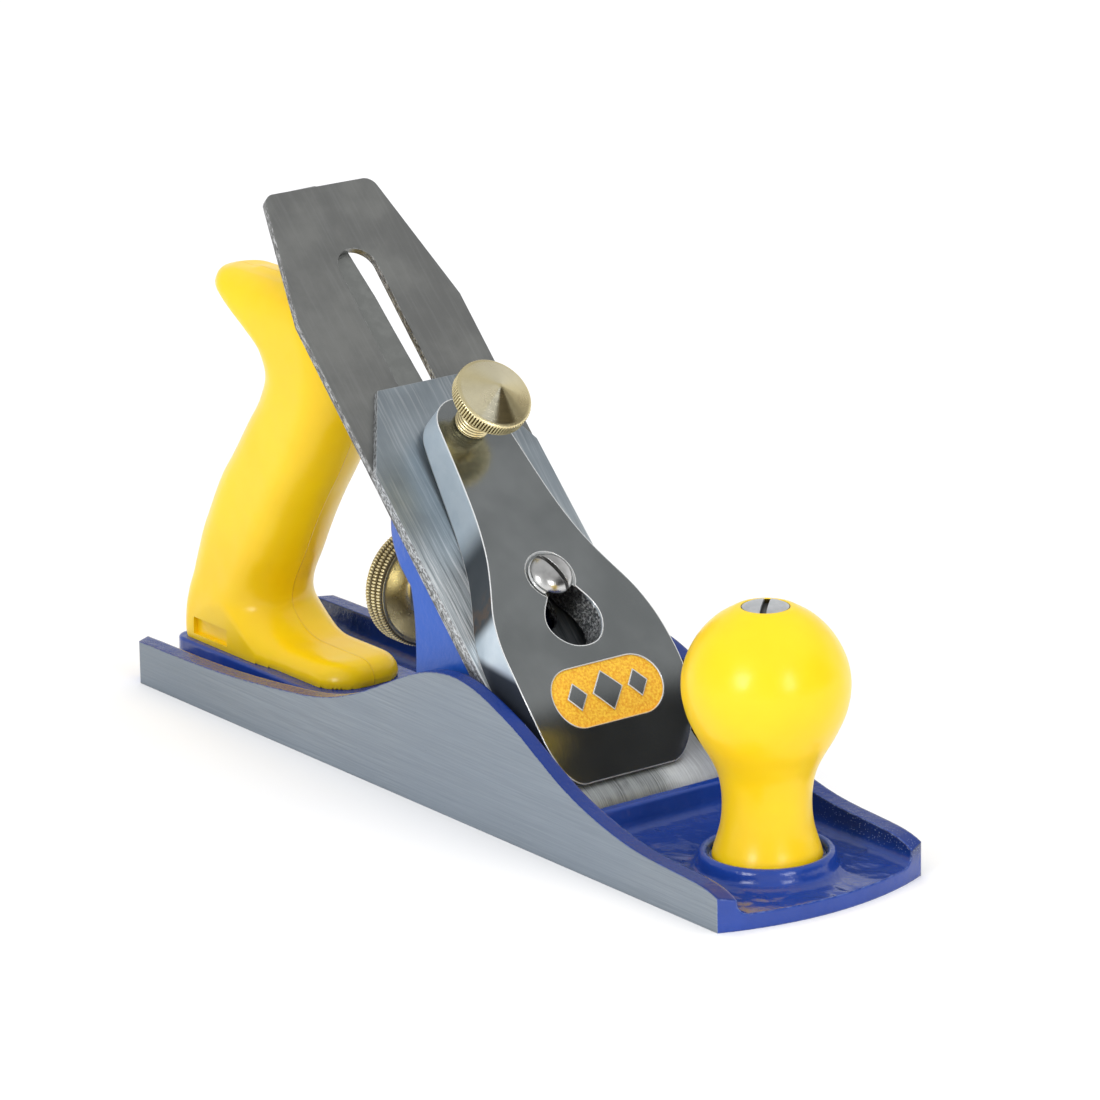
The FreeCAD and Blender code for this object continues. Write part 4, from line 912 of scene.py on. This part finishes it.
ROD_TOP = np.array([-79.0 + DATUM_X, 0, 108.4])
ROD_RADIUS, COUNTERBORE_RADIUS = 2.9, 6.4


def joint_slope(before, after):
    """Harmonic mean of the slopes on both sides of a station, flat where they turn."""
    return 0.0 if before * after <= 0 else 2 * before * after / (before + after)


def grip_section(z):
    """Rear x, front x, half width and rear radius of the grip at z, by Hermite curves."""
    levels = [row[0] for row in GRIP]
    k = 0
    while k < len(levels) - 2 and levels[k + 1] <= z:
        k += 1
    span = levels[k + 1] - levels[k]
    t = min(1.0, max(0.0, (z - levels[k]) / span))
    values = []
    for column in range(1, 5):
        start, end = GRIP[k][column], GRIP[k + 1][column]
        slope = start_slope = end_slope = (end - start) / span
        if k > 0:
            before = (start - GRIP[k - 1][column]) / (levels[k] - levels[k - 1])
            start_slope = joint_slope(before, slope)
        if k + 2 < len(GRIP):
            after = (GRIP[k + 2][column] - end) / (levels[k + 2] - levels[k + 1])
            end_slope = joint_slope(slope, after)
        values.append((2 * t**3 - 3 * t**2 + 1) * start
                      + (t**3 - 2 * t**2 + t) * (start_slope * span)
                      + (-2 * t**3 + 3 * t**2) * end
                      + (t**3 - t**2) * (end_slope * span))
    return values


def rounded_meet(first, second, radius):
    """Intersection of two signed distances, rounded where they meet."""
    first, second = first + radius, second + radius
    outside = np.hypot(np.maximum(first, 0), np.maximum(second, 0))
    return np.minimum(np.maximum(first, second), 0) + outside - radius


def outline_distance(x, y, rear, front, half_width, rear_radius, front_radius):
    """Signed distance from a rectangle in plan with rounded corners."""
    middle = (rear + front) / 2
    radius = np.where(x < middle, rear_radius, front_radius)
    past_end = np.abs(x - middle) - (front - rear) / 2
    return rounded_meet(past_end, np.abs(y) - half_width, radius)


def handle_field(xs, ys, zs):
    """Signed distance of the grip blended into its foot, sampled on the grid."""
    x, y = np.meshgrid(xs, ys, indexing="ij")
    field = np.empty((len(xs), len(ys), len(zs)))
    for k, z in enumerate(zs):
        rear, front, half_width, radius = grip_section(min(max(z, GRIP_BOTTOM), GRIP_TOP))
        full_radius = half_width - CORNER_MARGIN
        grip = outline_distance(x, y, rear, front, half_width, min(radius, full_radius),
                                full_radius)
        grip = np.maximum(grip, z - GRIP_TOP)
        foot = outline_distance(x, y, FOOT_REAR, FOOT_FRONT, FOOT_HALF_WIDTH,
                                FOOT_REAR_RADIUS, FOOT_FRONT_RADIUS)
        crown = FOOT_CROWN * (np.abs(y) / FOOT_HALF_WIDTH) ** 2
        foot = rounded_meet(foot, z - FOOT_TOP + crown, FOOT_TOP_RADIUS)
        nearness = np.maximum(GRIP_FOOT_BLEND - np.abs(grip - foot), 0.0) / GRIP_FOOT_BLEND
        solid = np.minimum(grip, foot) - nearness * nearness * GRIP_FOOT_BLEND / 4
        if z < 40:
            # side walls that draw in towards the front, trimming the blend's bulge
            wall = np.where(x < -100, 13.95, 13.95 - (x + 100) * 0.036)
            solid = np.maximum(solid, np.abs(y) - wall)
        field[:, :, k] = np.maximum(solid, HANDLE_SEAT - z)
    return field


def surface_nets(field, origin, cell):
    """Closed mesh of the zero level of a sampled field, one vertex per crossed cell."""
    samples = field.shape
    shape = tuple(n - 1 for n in samples)
    inside = field < 0

    def window(offset):
        return tuple(slice(offset[i], shape[i] + offset[i]) for i in range(3))

    corners = sum(inside[window(offset)].astype(int) for offset in product((0, 1), repeat=3))
    active = (corners > 0) & (corners < 8)
    # each vertex is the mean of the crossings on its cell's edges
    total = np.zeros(shape + (3,))
    crossings = np.zeros(shape)
    for axis in range(3):
        across = [a for a in range(3) if a != axis]
        for pair in product((0, 1), repeat=2):
            start = [0, 0, 0]
            start[across[0]], start[across[1]] = pair
            end = list(start)
            end[axis] = 1
            v0, v1 = field[window(start)], field[window(end)]
            crossed = (v0 < 0) != (v1 < 0)
            t = np.where(crossed, v0 / np.where(crossed, v0 - v1, 1.0), 0.0)
            for i in range(3):
                place = start[i] + (t if i == axis else 0.0)
                total[..., i] += np.where(crossed, place, 0.0)
            crossings += crossed
    index = -np.ones(shape, int)
    cells = np.argwhere(active)
    index[active] = np.arange(len(cells))
    verts = np.array(origin) + cell * (cells + total[active] / crossings[active][:, None])
    # one face across each grid edge that crosses the surface
    faces = []
    for axis in range(3):
        across = [a for a in range(3) if a != axis]
        low = [slice(1, n - 1) for n in samples]
        high = list(low)
        low[axis] = slice(0, samples[axis] - 1)
        high[axis] = slice(1, samples[axis])
        edges = np.argwhere(inside[tuple(low)] != inside[tuple(high)])
        edges[:, across] += 1
        quad = []
        for back_steps in ((1, 1), (0, 1), (0, 0), (1, 0)):
            corner = edges.copy()
            corner[:, across] -= back_steps
            quad.append(index[corner[:, 0], corner[:, 1], corner[:, 2]])
        faces.append(np.stack(quad, 1))
    return verts, np.concatenate(faces)


def make_handle():
    xs = np.arange(-133.0, -52.0, CELL)
    ys = np.arange(-16.0, 16.01, CELL)
    zs = np.arange(6.0, 113.5, CELL)
    verts, faces = surface_nets(handle_field(xs, ys, zs), (xs[0], ys[0], zs[0]), CELL)
    verts[:, 0] += DATUM_X
    handle = mesh_object("rear_handle_moulded", verts, faces)
    smoothing = handle.modifiers.new("smooth", "SMOOTH")
    smoothing.factor = 0.5
    smoothing.iterations = 5
    apply_modifiers(handle)
    # flatten the underside again
    for vert in handle.data.vertices:
        if vert.co.z < 9.15 * MM:
            vert.co.z = HANDLE_SEAT * MM
    # plain sunk rectangle low on the -Y side
    cut_away(handle, box("pocket", centre=(-114.15 + DATUM_X, -15.65, 12.6),
                         size=(15.4, 6.0, 4.6)))
    # counterbore and bore along the rod
    rod = ROD_TOP - ROD_BOTTOM
    bore_end = np.linalg.norm(rod) - 7.5
    floor, mouth = bore_end - 1.5, bore_end + 30
    counterbore = [(0, floor), (COUNTERBORE_RADIUS, floor), (COUNTERBORE_RADIUS, mouth),
                   (0, mouth)]
    bore = [(0, -2), (ROD_RADIUS, -2), (ROD_RADIUS, bore_end), (0, bore_end)]
    cut_away(handle, lathe("counterbore", subdivide(counterbore, step=4.0), ROD_BOTTOM, rod,
                           segments=64))
    cut_away(handle, lathe("bore", bore, ROD_BOTTOM, rod, segments=32))
    clean(handle)
    shade_smooth(handle, 40)
    return handle


install(make_handle(), YELLOW, "plane", "rear_handle")


# ------------------------------------------------------------------ turned brass
def notch(angle, count, steepness, shift=0.0):
    """Depth, 0 to 1, of one of count V notches round a rim."""
    phase = (angle * count / TURN + shift) % 1.0
    return max(0.0, 1 - abs(2 * phase - 1) * steepness)


def make_thumbscrew():
    """Profiles here are (radius, height above the bed)."""
    thread_radius, thread_pitch = 4.7, 1.0
    head = THUMB_HEAD
    shank = [(0, 4.1), (2.2, 4.1), (2.7, 4.6), (2.7, 7.6), (3.95, 8.8), (3.95, 15.5),
             (4.3, 15.55), (4.62, 15.85)]
    thread = [(thread_radius, 15.9 + 0.09 * k) for k in range(46)]
    neck = [(4.35, 20.15), (4.35, 20.7), (4.7, 20.95), (4.7, head - 1.3), (4.85, head - 0.6),
            (5.3, head), (7.4, head), (9.2, head + 0.05), (9.75, head + 0.2),
            (10.0, head + 0.42)]
    rim = [(10.2, head + 0.6 + 0.36 * k) for k in range(9)]
    shoulder = [(10.02, head + 3.72), (9.8, head + 3.93), (9.55, head + 4.06)]
    cone = [(9.55 - 8.9 * k / 24, head + 4.06 + 3.5 * k / 24) for k in range(1, 25)]
    tip = [(0.3, head + 7.68), (0, head + 7.72)]
    thread_start = len(shank)
    thread_end = thread_start + len(thread)
    rim_start = thread_end + len(neck)
    rim_end = rim_start + len(rim)

    def shape(radius, along, angle, station):
        if thread_start <= station < thread_end:
            phase = (along / thread_pitch - angle / TURN) % 1.0
            return radius - 0.5 * abs(2 * phase - 1) ** 1.3
        if rim_start <= station < rim_end:
            return radius - 0.52 * notch(angle, count=78, steepness=1.6)
        return radius

    return lathe("thumbscrew_turned", shank + thread + neck + rim + shoulder + cone + tip,
                 THUMB_CENTRE, BED_NORMAL, segments=624, shape=shape, sharp=30)


def make_depth_wheel():
    """Profiles here are (radius, x)."""
    rear, front = WHEEL_REAR, WHEEL_FRONT
    rear_face = [(3.05, rear + 1.9), (6.4, rear + 1.9), (8.0, rear + 1.6), (9.5, rear + 1.2),
                 (11.6, rear + 0.5), (13.3, rear), (14.2, rear + 0.02), (14.7, rear + 0.15)]
    bead_stations = 11
    beads = []
    for bead in range(3):
        middle = rear + 1.35 + 2.3 * bead
        for i in range(bead_stations):
            a = -1.0 + 2.0 * i / (bead_stations - 1)
            beads.append((14.2 + 1.3 * math.sqrt(max(0.0, 1 - a * a)), middle + a))
    front_face = [(14.5, front - 0.1), (14.2, front), (13.3, front - 0.2),
                  (12.4, front - 0.65), (11.4, front - 1.15), (10.2, front - 1.6),
                  (9.0, front - 1.9), (7.8, front - 2.1), (6.8, front - 2.15),
                  (6.0, front - 2.05), (5.55, front - 1.7), (5.4, front - 1.0)]
    # hub with two collars; x from the drawing datum
    hub = [(5.4, -31.4), (7.1, -31.4), (7.6, -31.0), (7.6, -30.5), (5.4, -30.5), (5.4, -27.5),
           (7.6, -27.5), (7.6, -26.2), (7.0, -25.6), (3.05, -25.6)]
    hub = [(radius, x + DATUM_X) for radius, x in hub]
    first = len(rear_face)

    def shape(radius, along, angle, station):
        if first <= station < first + len(beads) and radius > 14.7:
            shift = 0.33 * ((station - first) // bead_stations)
            depth = 0.5 * (radius - 14.3)
            return radius - depth * notch(angle, count=112, steepness=1.8, shift=shift)
        return radius

    return lathe("depth_wheel_knurled", rear_face + beads + front_face + hub,
                 WHEEL_CENTRE, (1, 0, 0), segments=784, shape=shape, sharp=32)


# painted shade in the rim notches, then in the thread
THUMB_GROOVES = [(10.14, 9.78, 9.0, THUMB_HEAD + 0.4, THUMB_HEAD + 3.7, 0.85),
                 (4.62, 4.3, 3.9, 15.6, 20.4, 0.8)]
WHEEL_GROOVES = [(15.42, 14.9, 13.9, WHEEL_REAR + 0.2, WHEEL_FRONT - 0.15, 0.75)]

thumbscrew = make_thumbscrew()
install(thumbscrew,
        brass_material("thumbscrew_brass", THUMB_CENTRE, BED_NORMAL, THUMB_GROOVES,
                       cone_from=THUMB_HEAD + 4.1),
        "thumbscrew", "lever_cap_thumbscrew")
depth_wheel = make_depth_wheel()
install(depth_wheel,
        brass_material("depth_wheel_brass", WHEEL_CENTRE, (1, 0, 0), WHEEL_GROOVES,
                       tone=0.98, metal=0.78, dished=True),
        "depth_wheel", "depth_wheel")

# ------------------------------------------------------------------ floor, camera, lights
FLOOR_HALF = 9.0                            # metres
CAMERA_AZIMUTH = math.radians(53.23)        # from -Y towards +X
CAMERA_ELEVATION = math.radians(17.12)
CAMERA_ROLL = -0.01768                      # radians
CAMERA_BACK, CAMERA_RIGHT, CAMERA_UP = 1635.6, 9.342, 56.548    # mm along its own axes


def make_floor():
    half = FLOOR_HALF
    mesh = bpy.data.meshes.new("studio_floor")
    mesh.from_pydata([(-half, -half, 0), (half, -half, 0), (half, half, 0), (-half, half, 0)],
                     [], [(0, 1, 2, 3)])
    floor = link_object("studio_floor", mesh)
    paper = Shader("studio_floor_paper")
    tone = paper.noise(scale=0.01, detail=2)
    mesh.materials.append(paper.finish(
        color=mix(tone, (0.90, 0.90, 0.905, 1), (0.925, 0.925, 0.93, 1)), rough=0.9, spec=0.15,
        normal=bump(paper.noise(scale=0.5, detail=2), 0.05, strength=0.3)))


def direction(azimuth, elevation):
    """Unit vector towards a place seen from the origin, angles in radians."""
    return Vector((math.sin(azimuth) * math.cos(elevation),
                   -math.cos(azimuth) * math.cos(elevation), math.sin(elevation)))


def make_camera():
    back = direction(CAMERA_AZIMUTH, CAMERA_ELEVATION)
    level_right = (-back).cross(Vector((0, 0, 1))).normalized()
    level_up = level_right.cross(-back)
    cos_roll, sin_roll = math.cos(CAMERA_ROLL), math.sin(CAMERA_ROLL)
    right = level_right * cos_roll + level_up * sin_roll
    up = -level_right * sin_roll + level_up * cos_roll
    place = (back * CAMERA_BACK + right * CAMERA_RIGHT + up * CAMERA_UP) * MM
    place += Vector((DATUM_X * MM, 0, 0))
    data = bpy.data.cameras.new("camera")
    data.sensor_width = 36.0
    data.lens = 212.72727
    data.clip_start = 0.05
    data.clip_end = 60
    camera = link_object("camera", data)
    camera.matrix_world = Matrix((*zip(right, up, back, place), (0, 0, 0, 1)))
    bpy.context.scene.camera = camera


def softbox(name, turn, elevation, width, height, power, distance=1.6):
    """Area light aimed at the plane, turned from the camera's azimuth; degrees and metres."""
    towards = direction(CAMERA_AZIMUTH + math.radians(turn), math.radians(elevation))
    light = bpy.data.lights.new(name, "AREA")
    light.shape = "RECTANGLE"
    light.size, light.size_y = width, height
    light.energy = power
    obj = link_object(name, light)
    obj.location = Vector((0.0, 0.0, 0.05)) + towards * distance
    obj.rotation_euler = (-towards).to_track_quat("-Z", "Y").to_euler()


def overhead_fill():
    """Broad sun that fills the shadows and leaves no highlight."""
    sun = bpy.data.lights.new("overhead_fill", "SUN")
    sun.energy = 1.8
    sun.angle = math.radians(110)
    obj = link_object("overhead_fill", sun)
    obj.location = (0, 0, 2)
    obj.visible_glossy = False


def make_world():
    """Grey room, brightest at the horizon and darker in reflections beyond the toe."""
    world = bpy.data.worlds.new("studio")
    bpy.context.scene.world = world
    world.use_nodes = True
    tree = world.node_tree
    tree.nodes.clear()
    view = add_node("TexCoord", {}, "Generated", tree)
    ramp = add_node("ValToRGB", {0: split(view)[2]})
    stops = ramp.socket.node.color_ramp.elements
    stops[0].position, stops[0].color = 0.0, (0.88, 0.88, 0.89, 1)
    stops[1].position, stops[1].color = 1.0, (0.56, 0.565, 0.575, 1)
    for position, grey in ((0.18, 0.80), (0.42, 0.62), (0.62, 0.55)):
        stops.new(position).color = (grey, grey, grey * 1.01, 1)
    # a dark part of the room, low towards +X and +Y, seen in reflections only
    dark_side = tuple(Vector((0.79, 0.573, 0.09)).normalized())
    dimming = dot(view, dark_side).remap(0.78, 0.965, 1.0, 0.06, "SMOOTHSTEP")
    glossy = add_node("LightPath", {}, "Is Glossy Ray", tree)
    colour = vector_math("SCALE", ramp, scale=mix_value(glossy, 1.0, dimming))
    background = add_node("Background", {0: colour, 1: 1.0})
    output = tree.nodes.new("ShaderNodeOutputWorld")
    plug(background, output.inputs[0])


make_floor()
make_camera()
softbox("key_left", turn=-33, elevation=20, width=0.40, height=0.50, power=6.2)
softbox("key_right", turn=33, elevation=18, width=0.36, height=0.50, power=3.5)
overhead_fill()
make_world()

view_settings = bpy.context.scene.view_settings
view_settings.view_transform = "Standard"
view_settings.look = "None"
view_settings.exposure = 0.0
view_settings.gamma = 1.0
